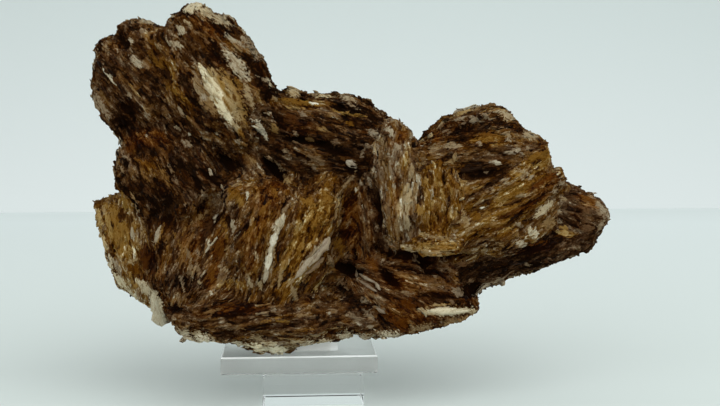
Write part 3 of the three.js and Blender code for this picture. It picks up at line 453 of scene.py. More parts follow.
        (155.6, 46.8, 157, 44.8, 1.6, 0.62, 0, 0.1, 0.2), (144, 39.2, 147.4, 38.6, 1.5, 0.64, 0.9, 0, 0.2),
        (133, 27.6, 136, 26.6, 1.2, 0.6, 0, 0, 0.25), (151.4, 34.8, 154.4, 34.2, 1.4, 0.42, 0, 0.1, 0.2),
        (134.6, 34.6, 140.6, 34.8, 1.8, 0.34, 0.2, 0.9, 0.2), (147, 49, 150, 47, 2.4, 0.34, 0, 0.3, 0.3),
    ],
    "under": [
        (100.3, 15.6, 106, 15.4, 2.4, 0.66, 0.5, 0, 0.25),
        (102, 15.5, 119.4, 14.1, 3.4, 0.84, 0.45, 0, 0.16),
        (102.6, 17, 112, 17.6, 1.4, 0.7, 0.6, 0, 0.25),
        (111, 21.6, 115.8, 20.6, 1.8, 0.62, 0, 0, 0.12), (95.4, 21.2, 100, 20.6, 1.2, 0.58, 0.2, 0, 0.25),
        (83.6, 19.4, 86, 17.2, 1.4, 0.6, 0, 0, 0.2), (84, 16, 88.6, 12.4, 1.5, 0.6, 0, 0, 0.25),
        (79.4, 15.2, 83.2, 12.6, 1.4, 0.58, 0.1, 0, 0.25), (85.6, 11, 87.4, 9.8, 1.6, 0.64, 0, 0, 0.25),
        (87.4, 9.4, 90.8, 7.2, 1.4, 0.56, 0, 0.3, 0.25), (88.4, 16.8, 91.4, 14.8, 1.6, 0.54, 0, 0, 0.35),
        (75.6, 24.2, 80, 21.2, 1.4, 0.52, 0.2, 0, 0.35),
        (116.4, 23.6, 118.6, 21.6, 1.6, 0.54, 0, 0.2, 0.25),
        (98.8, 30.4, 102.4, 29.4, 1.6, 0.5, 0, 0, 0.25), (112.4, 28.6, 116.4, 27.4, 2, 0.46, 0, 0.4, 0.3),
        (84.8, 31.4, 88.6, 27, 3.4, 0.4, 0, 0.9, 0.3), (54.4, 15.8, 57.2, 14.8, 1.4, 0.62, 0.2, 0, 0.2),
        (57, 14, 63, 12.8, 2, 0.56, 1.1, 0, 0.3), (63.4, 15.4, 68.4, 14.2, 1.2, 0.6, 0.4, 0, 0.3),
        (50, 7.6, 56, 5.6, 2.2, 0.7, 0.4, 0, 0.3), (53.4, 5.6, 60.6, 4.2, 2.6, 0.84, 0.4, 0, 0.25),
        (58.6, 6.8, 65, 6.8, 1.5, 0.66, 0.6, 0, 0.3), (61.6, 4.9, 68, 6.4, 1.8, 0.78, 0.4, 0, 0.3),
        (66.8, 7.2, 74, 8, 1.4, 0.72, 0.4, 0, 0.3), (72.6, 9, 79, 9.8, 1.2, 0.62, 0.5, 0, 0.35),
        (44, 12.6, 50, 10.4, 1.3, 0.56, 0.4, 0, 0.35), (64, 10, 71, 10.6, 1.1, 0.52, 0.7, 0.2, 0.35),
        (92, 13, 98, 9.6, 4.6, 0.3, 0.5, 1.0, 0.25), (95, 18.6, 100, 16.8, 3.4, 0.28, 0.4, 1.0, 0.3),
        (36, 15, 44, 17, 1.4, 0.5, 0.4, 0.2, 0.35), (42, 11.6, 48, 11, 1.6, 0.56, 0.2, 0, 0.35),
        (101, 25.6, 108, 24, 2.0, 0.44, 0.3, 0.5, 0.35), (103, 23, 110, 23.4, 1.2, 0.5, 0.5, 0.2, 0.3),
    ],
    "paintedRimLight": [
        # Pale patches along the outline: painted light, standing in for light through the thin edges and onto
        # the undersides.
        (3.2, 45, 4.6, 38, 3.0, 0.76, 0.9, 0, 0.25), (4.2, 38.5, 6.4, 31, 3.4, 0.8, 0.7, 0, 0.3),
        (6.4, 31.4, 8, 25.5, 4.4, 0.86, 0.3, 0, 0.3), (7.8, 25.4, 13, 19.4, 4.4, 0.88, 0.4, 0, 0.25),
        (11.6, 20.6, 18.2, 14, 4.0, 0.88, 0.4, 0, 0.2), (20.6, 12, 23, 7, 5.6, 0.84, 0.3, 0, 0.25),
        (26.8, 7.6, 30, 6.2, 2.6, 0.6, 0.3, 0.1, 0.35),
        (28.4, 7.4, 34.8, 5.2, 4.4, 0.92, 0.2, 0.3, 0.25), (33.8, 6.6, 40.8, 6, 5.2, 0.98, 0.3, 0.3, 0.3),
        (40.6, 6.6, 45, 5, 3.4, 0.66, 0.4, 0.2, 0.4), (44, 5.6, 50.2, 3.2, 4.2, 0.9, 0.3, 0.1, 0.3),
        (49.6, 4.4, 56, 1.6, 5.4, 1.0, 0.5, 0, 0.22), (54.6, 2.8, 61.8, 0.6, 5.8, 1.02, 0.4, 0, 0.2),
        (60.6, 3.4, 65.6, 2.8, 4.0, 0.78, 0.5, 0, 0.35), (65, 4.4, 70.6, 4, 3.6, 0.88, 0.3, 0.1, 0.3),
        (70, 4.8, 75.2, 5.2, 3.6, 0.84, 0.3, 0.2, 0.3), (76, 6.2, 82.6, 6.4, 4.6, 0.88, 0.3, 0.2, 0.35),
        (82.6, 6.2, 88.4, 6, 4.2, 0.82, 0.2, 0.2, 0.4), (88, 6.8, 96.6, 7.4, 4.6, 0.94, 0.3, 0.3, 0.4),
        (98, 8.4, 106, 10.6, 3.6, 0.72, 0.3, 0.5, 0.4), (107.4, 10.4, 118, 12.6, 3.0, 0.66, 0.4, 0.4, 0.4),
        (120.6, 18.4, 124.6, 21, 3.0, 0.76, 0.1, 0, 0.35), (124, 21, 128.4, 23.4, 2.8, 0.7, 0.1, 0, 0.35),
        (10.2, 101.6, 15.6, 103.8, 3.6, 0.8, 0.4, 0, 0.22),
        (15, 103.2, 20.4, 100.8, 3.2, 0.76, 0.2, 0, 0.25),
        (3, 97.4, 2.6, 85, 5.4, 0.86, 0.1, 0, 0.3), (48.8, 97.4, 53.4, 88.4, 2.8, 0.66, 0.1, 0, 0.35),
        (1.8, 81, 5, 73, 2.4, 0.68, 0.1, 0, 0.3),
        (60.4, 82.2, 65.4, 80.2, 3.2, 0.76, 0.5, 0, 0.2), (76.6, 80, 83, 78, 2.4, 0.72, 0.2, 0, 0.25),
        (7.6, 65.4, 8.2, 60, 2.6, 0.7, 0.1, 0, 0.3), (8.2, 60, 10.2, 53, 2.4, 0.62, 0.1, 0.1, 0.35),
        (9.8, 53, 10.2, 48, 2.2, 0.56, 0.3, 0, 0.35), (156.4, 46.4, 159, 42, 2.8, 0.7, 0.1, 0.1, 0.25),
        (158.2, 42, 156.4, 37, 2.6, 0.66, 0.1, 0.2, 0.3),
        (29.6, 105.2, 37.4, 105.6, 4.8, 0.88, 0.4, 0, 0.2), (36, 105, 40.4, 101.4, 3.4, 0.8, 0.4, 0, 0.25),
        (38.8, 103.4, 46, 99.4, 3, 0.76, 0.3, 0, 0.25), (125.2, 75, 131, 72.2, 2.8, 0.74, 0.3, 0, 0.2),
        (131.6, 67.8, 139, 66.4, 2.6, 0.72, 0.3, 0, 0.25),
    ],
}

# Crystals that stand out as bodies: the same ends and width, then thickness, how pale and warm, and where
# along it each is widest.
crystals = [
    (60.2, 41, 58.9, 38, 1.7, 1.3, 0.8, 0.3, 0.5), (59.3, 39.4, 57.9, 35, 2.1, 1.8, 0.9, 0.1, 0.4),
    (58.2, 36, 57.2, 33, 1.5, 1.4, 0.82, 0.2, 0.5), (57.7, 34, 56.4, 28, 2.1, 1.8, 0.88, 0.15, 0.45),
    (56.7, 29, 55.7, 24.6, 1.6, 1.3, 0.76, 0.2, 0.5),
    (75, 37.8, 64.6, 25.8, 3.5, 2.2, 0.7, 0.2, 0.2), (67.2, 26.6, 72.8, 31.4, 2.3, 1.3, 0.56, 0.6, 0.6),
    (73.8, 31.8, 75.6, 27, 1.9, 1.3, 0.6, 0.4, 0.5), (20.6, 20.5, 22.0, 7.6, 5.2, 5.5, 0.86, 0.3, 0.86),
    (79.2, 59.6, 82.6, 57.4, 2.3, 0.9, 0.7, 0.0, 0.35), (88.2, 16.4, 91, 14.6, 1.2, 1.0, 0.6, 0.1, 0.5),
    (82.4, 26.1, 88.3, 23.5, 1.0, 1.4, 0.66, 0.1, 0.5), (87.9, 23.9, 89.3, 21.8, 1.1, 1.4, 0.66, 0.1, 0.5),
    (82.4, 24.6, 88.6, 21.2, 0.9, 1.3, 0.6, 0.1, 0.5), (82.3, 26.3, 82.5, 23.9, 0.9, 1.3, 0.62, 0.1, 0.5),
    (103.6, 15.8, 117, 14.9, 2.5, 2.2, 0.9, 0.45, 0.35),
]
crystalRagged = 0.1  # of the patch under each
# The stone counts as turned away from the display side where its normal's y is above this.
turned = {"normal": -0.25, "stray": 0.15, "size": 4.0, "seed": 74}
paintedRimLight = {"reach": 3.0, "stray": 5, "size": 5.0, "seed": 75}  # how far back the patches of painted rim light go, in mm
# Knobs and dents all round the outline: x, z, reach and height in mm.
knobs = (
    (13, 103, 5, 2.0), (1.3, 90.5, 7, 2.2), (4.7, 97, 4, 1.5), (24, 104, 4, 1.4), (55, 88.6, 6, 0.8),
    (141.7, 64, 5, 2.2), (147.6, 55, 3, 2.4), (161, 42, 4, 1.2), (145, 28, 10, 0.8), (18, 13, 4, 0.4),
    (25.2, 9.4, 2.2, -3.6), (29.6, 7.4, 2.6, 1.0), (31, 6.4, 4, 1.2), (12, 17.6, 5, 1.2),
    (64.8, 80.8, 6, -1.0), (86.5, 78, 5, -1.4), (117.5, 76, 10, -1.8),
    (131.5, 23.8, 5, -1.0), (120.8, 18.8, 3.0, -2.6), (118.8, 13.6, 2.2, 0.8), (153.5, 34.4, 2.6, 1.2),
    (145.4, 57, 3, 1.2),
)
farPatch = {  # on the sides and the back, half sizes in mm
    "behind": 3,
    "count": 460,
    "length": (1.2, 6),
    "lengthPower": 1.6,
    "wide": (0.5, 1.9),
    "widePower": 1.4,
    "pale": (0.2, 0.85),
    "warm": (-0.1, 1.1),
    "rust": (-0.5, 0.4),
    "ragged": 0.45,
}


# The skin of the stone: a fine mesh over the block, with the edges of its packed blades as relief.
skin = {
    "voxel": 1.7,  # mm
    "smoothing": 1,
    "divisions": 2,
    "shares": 4,  # one stone, in as many meshes from left to right
    "inset": 0.1,  # how far the plain skin lies inside the block, in mm
    "patchEdge": 0.15,
    "boundary": (5.0, 2.2),  # how long the waves where sheaves meet are and how far they push it, in mm
    "mapAngle": 1.15,  # radians between faces at which the bake's map is cut
    "mapMargin": 0.004,  # share of the map between its islands
    # length, width and depth, then height in mm
    "swells": (((11, 6, 9), 0.8), ((4.5, 2.2, 4), 0.4), ((1.8, 0.9, 1.4), 0.15)),
    "layers": (
        {"size": (12, 3.2, 8), "rise": 0.5, "tone": 0.1, "groove": 0.0, "grooveShade": 0.0, "pits": 0.04},
        {"size": (6, 1.5, 4), "rise": 0.3, "tone": 0.1, "groove": 0.1, "grooveShade": 0.04, "pits": 0.07},
        {"size": (2.8, 0.8, 2), "rise": 0.22, "tone": 0.12, "groove": 0.1, "grooveShade": 0.04, "pits": 0.1},
    ),
    "pitDepth": 0.4,
    "pitTone": 0.16,
    "calm": 0.6,  # how much less relief the clear crystals have
    "bulge": 0.25,  # how far the palest patches stand out, in mm
    "paleFrom": (0.4, 0.3),  # the tone at which they begin to, and over how much more they come to the full
    "stray": ((1.5, 0.8, 1.4), 0.35),  # of the cells' edges: the noise's size, and how far
    "grooveWidth": 0.13,
    "cellWarmth": 0.2,
}


def newPiece(name, data):
    piece = bpy.data.objects.new(name, data)
    bpy.context.scene.collection.objects.link(piece)
    return piece


def applied(body, *steps):
    for kind, settings in steps:
        modifier = body.modifiers.new(kind, kind)
        for key, value in settings.items():
            setattr(modifier, key, value)
    shape = bpy.data.meshes.new_from_object(body.evaluated_get(bpy.context.evaluated_depsgraph_get()))
    body.modifiers.clear()
    body.data = shape
    return shape


def numbersOf(items, key, width=1, kind=float):
    values = np.empty(len(items) * width, kind)
    items.foreach_get(key, values)
    return values.reshape(-1, width) if width > 1 else values


def makeSkin():
    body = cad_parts["barite"].copy()
    body.data = body.data.copy()
    body.parent = None
    bpy.context.scene.collection.objects.link(body)
    voxel = {"mode": "VOXEL", "voxel_size": skin["voxel"] * mm}
    mesh = applied(body, ("REMESH", voxel), ("SMOOTH", {"iterations": skin["smoothing"]}))
    parts = np.arange(1, skin["shares"]) / skin["shares"]
    cuts = np.quantile(numbersOf(mesh.polygons, "center", 3)[:, 0], parts)
    work = bmesh.new()
    work.from_mesh(mesh)
    for cut in cuts:
        everything = work.verts[:] + work.edges[:] + work.faces[:]
        plane = {"plane_co": (cut, 0, 0), "plane_no": (1, 0, 0)}
        bmesh.ops.bisect_plane(work, geom=everything, dist=0.01 * mm, **plane)
    share = work.faces.layers.int.new("share")
    for face in work.faces:
        face[share] = int(np.searchsorted(cuts, face.calc_center_median().x))
    work.to_mesh(mesh)
    work.free()
    layOut(body)
    applied(body, ("SUBSURF", {"levels": skin["divisions"], "render_levels": skin["divisions"]}))
    return body


# The bake's map, laid out for each share of the skin before it gets its relief.
def layOut(body):
    mesh = body.data
    mesh.materials.clear()
    mesh.uv_layers.new(name="OFBake")
    shares = numbersOf(mesh.attributes["share"].data, "value", kind=np.int32)
    bpy.ops.object.select_all(action="DESELECT")
    body.select_set(True)
    bpy.context.view_layer.objects.active = body
    for share in range(skin["shares"]):
        mesh.polygons.foreach_set("select", shares == share)
        bpy.ops.object.mode_set(mode="EDIT")
        bpy.ops.uv.smart_project(
            angle_limit=skin["mapAngle"], island_margin=skin["mapMargin"], scale_to_bounds=True
        )
        bpy.ops.object.mode_set(mode="OBJECT")


skinBody = makeSkin()
skinPoints = toStone(numbersOf(skinBody.data.vertices, "co", 3))
skinNormals = numbersOf(skinBody.data.vertex_normals, "vector", 3)
print("skin", len(skinPoints), "points,", len(skinBody.data.polygons), "faces")


patchLimit = 4.0  # how far off patches count as, in widths of their edge, where there are none
plainTones = (0.5, 0.3, 0.0)  # and what their tones are there
outline = {"power": 0.55, "round": 0.1, "roundPower": 0.3}  # how blunt the ends of patches and crystals are


def warped(points, size, reach):
    pushes = [noiseAt(points, size, seed) for seed in (70, 71, 72)]
    return points + reach * np.stack(pushes, 1)


# Lays a patch over those found so far: how far inside it each point is against how ragged its edge is,
# then its pale, warm and rusty tones.
def layPatch(found, near, inside, tones):
    weight = np.where(found[near, 0] > -0.5, np.clip(inside + 0.5, 0, 1), inside > -patchLimit)[:, None]
    found[near, 1:] = found[near, 1:] * (1 - weight) + np.array(tones) * weight
    found[near, 0] = np.maximum(found[near, 0], inside)


# How wide a patch or a crystal is at each step of its length, as a share of its widest.
def profileOf(steps, peak):
    before, after = np.clip(steps / peak, 0, 1), np.clip((1 - steps) / (1 - peak), 0, 1)
    rounded = outline["round"] * np.sin(np.pi * np.clip(steps, 0, 1)) ** outline["roundPower"]
    return np.minimum(before, after) ** outline["power"] * (1 - outline["round"]) + rounded


def turnedAway(points):
    return turned["normal"] + turned["stray"] * noiseAt(points, turned["size"], turned["seed"])


# The display side's patches stop where the stone turns away, and only the painted rim light goes a little
# further.
def frontPatches(found, points):
    front = (points[:, 1] < frontReach + frontFade) & (skinNormals[:, 1] < turnedAway(points))
    # rim marks how far back the painted rim light reaches.
    rim = points[:, 1] < paintedRimLight["reach"] + paintedRimLight["stray"] * noiseAt(points, paintedRimLight["size"], paintedRimLight["seed"])
    rows = [(rim if region == "paintedRimLight" else front, *row) for region in patches for row in patches[region]]
    rows += [(front, *row[:5], row[6], row[7], 0, crystalRagged) for row in crystals]
    for shown, x0, z0, x1, z1, wide, pale, warm, rust, ragged in rows:
        length = math.hypot(x1 - x0, z1 - z0)
        run = np.array([x1 - x0, z1 - z0]) / length
        offset = points[:, [0, 2]] - np.array([x0, z0])
        near = np.where(shown & (np.abs(offset).max(axis=1) < length + wide))[0]
        step = offset[near] @ run / length
        over = np.abs(offset[near] @ np.array([-run[1], run[0]]))
        beyond = np.maximum(np.maximum(-step, step - 1), 0) * length
        inside = (wide / 2 * profileOf(step, 0.5) - over - beyond) / (ragged * wide + skin["patchEdge"])
        layPatch(found, near, inside, (pale, warm, rust))


def farPatches(found, points):
    behind = np.where((points[:, 1] > farPatch["behind"]) | (skinNormals[:, 1] > turnedAway(points)))[0]
    count = farPatch["count"]
    spots = points[rng.choice(behind, count)]
    along, _, _ = grainAt(spots, sheafAt(spots))
    lengths = between(*farPatch["length"], count, farPatch["lengthPower"])
    widths = between(*farPatch["wide"], count, farPatch["widePower"])
    tones = np.stack([between(*farPatch[key], count) for key in ("pale", "warm", "rust")], 1)
    for k in range(count):
        offset = points - spots[k]
        near = np.where(np.abs(offset).max(axis=1) < lengths[k] + 1)[0]
        over = np.linalg.norm(np.cross(offset[near], along[k]), axis=1)
        step = np.abs(offset[near] @ along[k]) / lengths[k]
        inside = widths[k] * np.sqrt(np.clip(1 - step**2, 0, 1)) - over - lengths[k] * np.maximum(step - 1, 0)
        layPatch(found, near, inside / (farPatch["ragged"] * widths[k] + skin["patchEdge"]), tones[k])


def patchesAt(points):
    found = np.tile([-patchLimit, *plainTones], (len(points), 1))
    farPatches(found, points)
    frontPatches(found, points)
    found[:, 0] = np.clip(found[:, 0], -patchLimit, patchLimit)
    return found


def dressSkin():
    owners = sheafAt(warped(skinPoints, *skin["boundary"]))
    along, square, places = grainAt(skinPoints, owners)
    tints = np.array([sheaf["tint"] for sheaf in sheaves.values()])[owners]
    stainedAndShaded = stainsAndShadeAt(skinPoints, along, square)
    fields = np.concatenate([tints + stainedAndShaded[:, :3], patchesAt(skinPoints)], axis=1)
    inside = np.clip(fields[:, 3], 0, 1)
    paleFrom, paleOver = skin["paleFrom"]
    raised = inside * np.clip((fields[:, 4] - paleFrom) / paleOver, 0, 1)
    size, stray = skin["stray"]
    ragged = places + np.stack([stray * noiseAt(places, size, seed) for seed in (20, 21, 22)], 1)
    lift = sum(height * noiseAt(places, size, 30 + k) for k, (size, height) in enumerate(skin["swells"]))
    for x, z, reach, height in knobs:
        away = np.hypot(skinPoints[:, 0] - x, skinPoints[:, 2] - z)
        lift += height * np.exp(-((away / reach) ** 2))
    for k, layer in enumerate(skin["layers"]):
        cell, edge = cellsAt(ragged, layer["size"], k + 1)
        groove = np.exp(-((edge / skin["grooveWidth"]) ** 2))
        pit = cell[:, 1] < layer["pits"]
        lift += layer["rise"] * (cell[:, 0] - 0.5) - layer["groove"] * groove - skin["pitDepth"] * pit
        # Grooves between cells are painted darker for the shade in them; pits are darker specks.
        darker = layer["grooveShade"] * groove + skin["pitTone"] * pit
        fields[:, 0] += layer["tone"] * 2 * (cell[:, 2] - 0.5) - darker
        fields[:, 1] += skin["cellWarmth"] * (cell[:, 1] - 0.5)
    lift = lift * (1 - skin["calm"] * inside) + skin["bulge"] * raised - skin["inset"] - stainedAndShaded[:, 3]
    return skinPoints + skinNormals * lift[:, None], places, fields, stainedAndShaded[:, 3]


skinPoints, skinPlaces, skinFields, skinHollows = dressSkin()
skinPoints[:, 2] = np.maximum(skinPoints[:, 2], 0.0)  # nothing hangs below the stone's own foot
footClearance = 0.02  # how far above it blades and crystals stay, in mm
skinBody.data.vertices.foreach_set("co", toWorld(skinPoints).ravel())
skinBody.data.update()
skinNormals = numbersOf(skinBody.data.vertex_normals, "vector", 3)
skinTree = BVHTree.FromPolygons(skinPoints.tolist(), [tuple(p.vertices) for p in skinBody.data.polygons])
skinCorner = np.array([polygon.vertices[0] for polygon in skinBody.data.polygons])
print("relief")


# Each point's place in the grain and its tones, for the finishes to read.
fieldNames = ("tone", "warm", "rust", "patch", "patchTone", "patchWarm", "patchRust")


def addFields(mesh, places, fields):
    mesh.attributes.new("places", "FLOAT_VECTOR", "POINT").data.foreach_set("vector", places.ravel())
    for k, name in enumerate(fieldNames):
        layer = mesh.attributes.new(name, "FLOAT", "POINT")
        layer.data.foreach_set("value", np.ascontiguousarray(fields[:, k]))


def ownPiece(piece, material):
    piece.data.materials.clear()
    piece.data.materials.append(material)
    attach(piece, "root")
    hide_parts("barite")


# Cuts the skin into its shares and closes each one where it meets the next.
def shareSkin(material):
    addFields(skinBody.data, skinPlaces, skinFields)
    for number in range(skin["shares"]):
        work = bmesh.new()
        work.from_mesh(skinBody.data)
        share = work.faces.layers.int["share"]
        others = [face for face in work.faces if face[share] != number]
        bmesh.ops.delete(work, geom=others, context="FACES")
        for face in work.faces:
            face.smooth = True
        rim = [edge for edge in work.edges if edge.is_boundary]
        for edge in rim:
            edge.smooth = False
        filled = bmesh.ops.holes_fill(work, edges=rim, sides=0)["faces"]
        bmesh.ops.triangulate(work, faces=filled)
        bmesh.ops.recalc_face_normals(work, faces=work.faces[:])
        name = f"matrix{number + 1}"
        mesh = bpy.data.meshes.new(name)
        work.to_mesh(mesh)
        work.free()
        ownPiece(newPiece(name, mesh), material)
        print(name, len(mesh.polygons), "faces")
    bpy.data.objects.remove(skinBody)


# Loose-edged blades over the skin: their share of all, the stations along each blade, then lowest and highest
# length, thickness and height in mm, and how deep they are rooted.
bladeKeys = ("share", "stations", "length", "thick", "rise", "root")
bladeRows = {
    "fine": (0.68, 4, (0.9, 2.4), (0.3, 0.7), (0.0, 0.25), 0.8),
    "middling": (0.28, 5, (2, 4.6), (0.4, 0.9), (0.0, 0.3), 1.2),
    "coarse": (0.04, 8, (4, 8), (0.6, 1.2), (0.0, 0.25), 1.6),
}
bladeSizes = {name: dict(zip(bladeKeys, row)) for name, row in bladeRows.items()}
bladeScatter = {
    "count": 12000,
    "strays": 1.0,  # how far into the next sheaf blades may stray, in mm
    "tilt": 0.15,  # how far blades stray from their sheaf's plane
    "hollow": 0.8,  # no blades where a hollow is deeper than this, in mm
    "flakes": 0.06,  # share of blades that lie over and show a face
    "flakeTurn": (35, 75),  # degrees
    "flat": 0.86,  # how squarely the surface has to face the blades' plane for them to lie as shingles
    "shingle": 0.3,  # how far those rise, and how unlike each other they lie
    "tone": (0.02, 0.07),  # how much paler than the skin, and how unlike each other
    "rootTone": -0.14,
}
# What makes one blade unlike the next. Powers above 1 make the low end of a range more common.
bladeShape = {
    "powers": {"length": 1.4, "thick": 1.3, "rise": 1.2},
    "flakeRise": 0.2,  # mm
    "sunk": 0.35,  # mm, how far the ends of a crest lie below its middle
    "blunt": (6, 16),  # powers of the crest's curve along the blade
    "taper": (0.0, 0.5),
    "taperPower": (3, 9),
    "crest": 0.07,  # mm, as are the next two
    "wobble": 0.06,
    "shift": 0.12,
    "edge": 0.14,  # share of the thickness, as is the slope
    "slope": 0.25,
    "bow": 0.1,  # mm
    "follow": (-5.0, 0.8),  # how far down and up from its middle a blade follows the skin, in mm
}


def surfaceSamples(count):
    mesh = skinBody.data
    mesh.calc_loop_triangles()
    corners = numbersOf(mesh.loop_triangles, "vertices", 3, np.int32)
    a, b, c = (skinPoints[corners[:, k]] for k in range(3))
    area = np.linalg.norm(np.cross(b - a, c - a), axis=1)
    picked = rng.choice(len(area), count, p=area / area.sum())
    u, v = rng.random((2, count, 1))
    over = (u + v) > 1
    u, v = np.where(over, 1 - u, u), np.where(over, 1 - v, v)
    spots = a[picked] + u * (b - a)[picked] + v * (c - a)[picked]
    return spots, unit(skinNormals[corners[picked]].mean(axis=1)), corners[picked][:, 0]


def turnAbout(vectors, axes, angles):
    c, s = np.cos(angles)[:, None], np.sin(angles)[:, None]
    return vectors * c + np.cross(axes, vectors) * s + axes * dots(axes, vectors) * (1 - c)


# A blade's own axes: run lies along the crest, square through the thickness, out from the stone.
def bladeAxes(points, normals, along, square):
    square = unit(square + bladeScatter["tilt"] * rng.standard_normal(points.shape))
    facing = dots(normals, square)
    out = unit(normals - facing * square)
    lying = np.abs(facing[:, 0]) > bladeScatter["flat"]
    way = np.sign(rng.random(lying.sum()) - 0.5)[:, None]
    rise = bladeScatter["shingle"]
    shingle = unit(along[lying] * way + rise * normals[lying] + rise * rng.standard_normal((lying.sum(), 3)))
    out[lying] = shingle
    square[lying] = unit(square[lying] - dots(square[lying], shingle) * shingle)
    run = np.cross(square, out)
    flakes = rng.random(len(points)) < bladeScatter["flakes"]
    turn = np.where(flakes, np.radians(between(*bladeScatter["flakeTurn"], len(points))), 0)
    turn *= np.sign(rng.random(len(points)) - 0.5)
    return run, turnAbout(square, run, turn), turnAbout(out, run, turn), flakes


def followSurface(starts, runs, outs, lengths, steps):
    heights = np.zeros((len(starts), len(steps)))
    for k, step in enumerate(steps):
        spots = starts + runs * (lengths * step)[:, None]
        near = np.array([skinTree.find_nearest(Vector(p))[0] for p in spots])
        heights[:, k] = np.clip(np.sum((near - spots) * outs, axis=1), *bladeShape["follow"])
    return heights


# Each blade is a closed wedge: two lines of points along its crest and one along its root.
def makeBlades(size, starts, run, square, out, flakes):
    count, stations = len(starts), size["stations"]
    grid = (count, stations)
    length, thick, rise = (between(*size[key], count, power) for key, power in bladeShape["powers"].items())
    rise = rise + np.where(flakes, bladeShape["flakeRise"], 0)
    steps = np.linspace(-0.5, 0.5, stations)
    ends = np.abs(2 * steps)[None, :]
    ground = followSurface(starts, run, out, length, steps)
    bulge = 1 - ends ** between(*bladeShape["blunt"], count)[:, None]
    sunk = bladeShape["sunk"]
    crest = ground + (rise[:, None] + sunk) * bulge - sunk + rng.normal(0, bladeShape["crest"], grid)
    taper = between(*bladeShape["taper"], count)[:, None]
    taper = 1 - taper * ends ** between(*bladeShape["taperPower"], count)[:, None]
    half = thick[:, None] / 2 * taper * (1 + rng.normal(0, bladeShape["edge"], grid))
    bow = rng.normal(0, bladeShape["bow"], count)[:, None] * (1 - 4 * steps[None, :] ** 2)
    wobble = bow + rng.normal(0, bladeShape["wobble"], grid)
    slope = thick[:, None] * rng.normal(0, bladeShape["slope"], (count, 1))
    through = np.stack([wobble - half, wobble + half, wobble], 2)
    heights = np.stack([crest + slope, crest - slope, ground - size["root"]], 2)
    shift = (length[:, None] * steps)[:, :, None] + rng.normal(0, bladeShape["shift"], (*grid, 3))
    return (
        starts[:, None, None, :]
        + run[:, None, None, :] * shift[..., None]
        + square[:, None, None, :] * through[..., None]
        + out[:, None, None, :] * heights[..., None]
    )


# Where a blade's sides and its two ends lie within its own cell of the bake's map.
cellShape = {"along": (0.08, 0.92), "around": (0.04, 0.96), "ends": (0.0, 0.94), "end": (0.05, 0.01)}


def cellCorners(first, count, stations, rings, columns):
    u = np.linspace(*cellShape["along"], stations)
    v = np.linspace(*cellShape["around"], rings + 1)
    quads = []
    for k, j in itertools.product(range(stations - 1), range(rings)):
        quads.append([(u[k], v[j]), (u[k + 1], v[j]), (u[k + 1], v[j + 1]), (u[k], v[j + 1])])
    cell = np.arange(first, first + count)
    corner = np.stack([cell % columns, cell // columns], 1)[:, None, None, :]
    caps = []
    for side in cellShape["ends"]:
        heights = np.linspace(*cellShape["around"], rings)
        caps.append([(side + cellShape["end"][k % 2], height) for k, height in enumerate(heights)])
    return ((corner + np.array(quads)[None]) / columns), ((corner + np.array(caps)[None]) / columns)


def tubeFaces(count, stations, rings):
    quads = []
    for k, j in itertools.product(range(stations - 1), range(rings)):
        after = (j + 1) % rings
        quads.append([rings * k + j, rings * (k + 1) + j, rings * (k + 1) + after, rings * k + after])
    last = rings * (stations - 1)
    caps = [list(range(rings)), list(range(last + rings - 1, last - 1, -1))]
    offset = rings * stations * np.arange(count)[:, None, None]
    return np.array(quads)[None] + offset, np.array(caps)[None] + offset


# Joins batches of closed tubes, each a count x stations x rings array of points, into one piece.
def joinTubes(name, batches, material):
    total = sum(len(batch["points"]) for batch in batches)
    columns = math.ceil(math.sqrt(total))
    points, places, fields, loops, sizes, corners = [], [], [], [], [], []
    start = cell = 0
    for batch in batches:
        count, stations, rings = batch["points"].shape[:3]
        cells = cellCorners(cell, count, stations, rings, columns)
        for faces, maps in zip(tubeFaces(count, stations, rings), cells):
            loops.append((faces + start).ravel())
            sizes.append(np.full(faces.shape[0] * faces.shape[1], faces.shape[2]))
            corners.append(maps.reshape(-1, 2))
        points.append(batch["points"].reshape(-1, 3))
        places.append(batch["places"].reshape(-1, 3))
        fields.append(batch["fields"].reshape(-1, batch["fields"].shape[-1]))
        start += count * stations * rings
        cell += count
    points, places, fields, loops, sizes, corners = (
        np.concatenate(parts) for parts in (points, places, fields, loops, sizes, corners)
    )
    points[:, 2] = np.maximum(points[:, 2], footClearance)
    mesh = bpy.data.meshes.new(name)
    mesh.vertices.add(len(points))
    mesh.vertices.foreach_set("co", toWorld(points).ravel())
    mesh.loops.add(len(loops))
    mesh.loops.foreach_set("vertex_index", loops)
    mesh.polygons.add(len(sizes))
    mesh.polygons.foreach_set("loop_start", np.concatenate([[0], np.cumsum(sizes)[:-1]]))
    mesh.update(calc_edges=True)
    mesh.uv_layers.new(name="OFBake").data.foreach_set("uv", corners.ravel())
    addFields(mesh, places, fields)
    mesh.validate()
    ownPiece(newPiece(name, mesh), material)


def scatterBlades():
    batches = []
    for name, size in bladeSizes.items():
        count = int(bladeScatter["count"] * size["share"])
        starts, normals, nearest = surfaceSamples(count)
        shallow = skinHollows[nearest] < bladeScatter["hollow"]
        starts, normals, nearest = starts[shallow], normals[shallow], nearest[shallow]
        count = len(starts)
        owners = sheafAt(starts + rng.normal(0, bladeScatter["strays"], starts.shape))
        along, square, _ = grainAt(starts, owners)
        run, through, out, flakes = bladeAxes(starts, normals, along, square)
        points = makeBlades(size, starts, run, through, out, flakes)
        corners = points.shape[1] * points.shape[2]
        places = grainAt(points.reshape(-1, 3), np.repeat(owners, corners))[2].reshape(points.shape)
        fields = skinFields[nearest].copy()
        fields[:, 0] += rng.normal(*bladeScatter["tone"], count)
        fields = np.repeat(fields, corners, axis=0).reshape(*points.shape[:3], -1)
        fields[:, :, 2, 0] += bladeScatter["rootTone"]
        batches.append({"owners": owners, "points": points, "places": places, "fields": fields})
        print(name, count, "blades")
    return batches


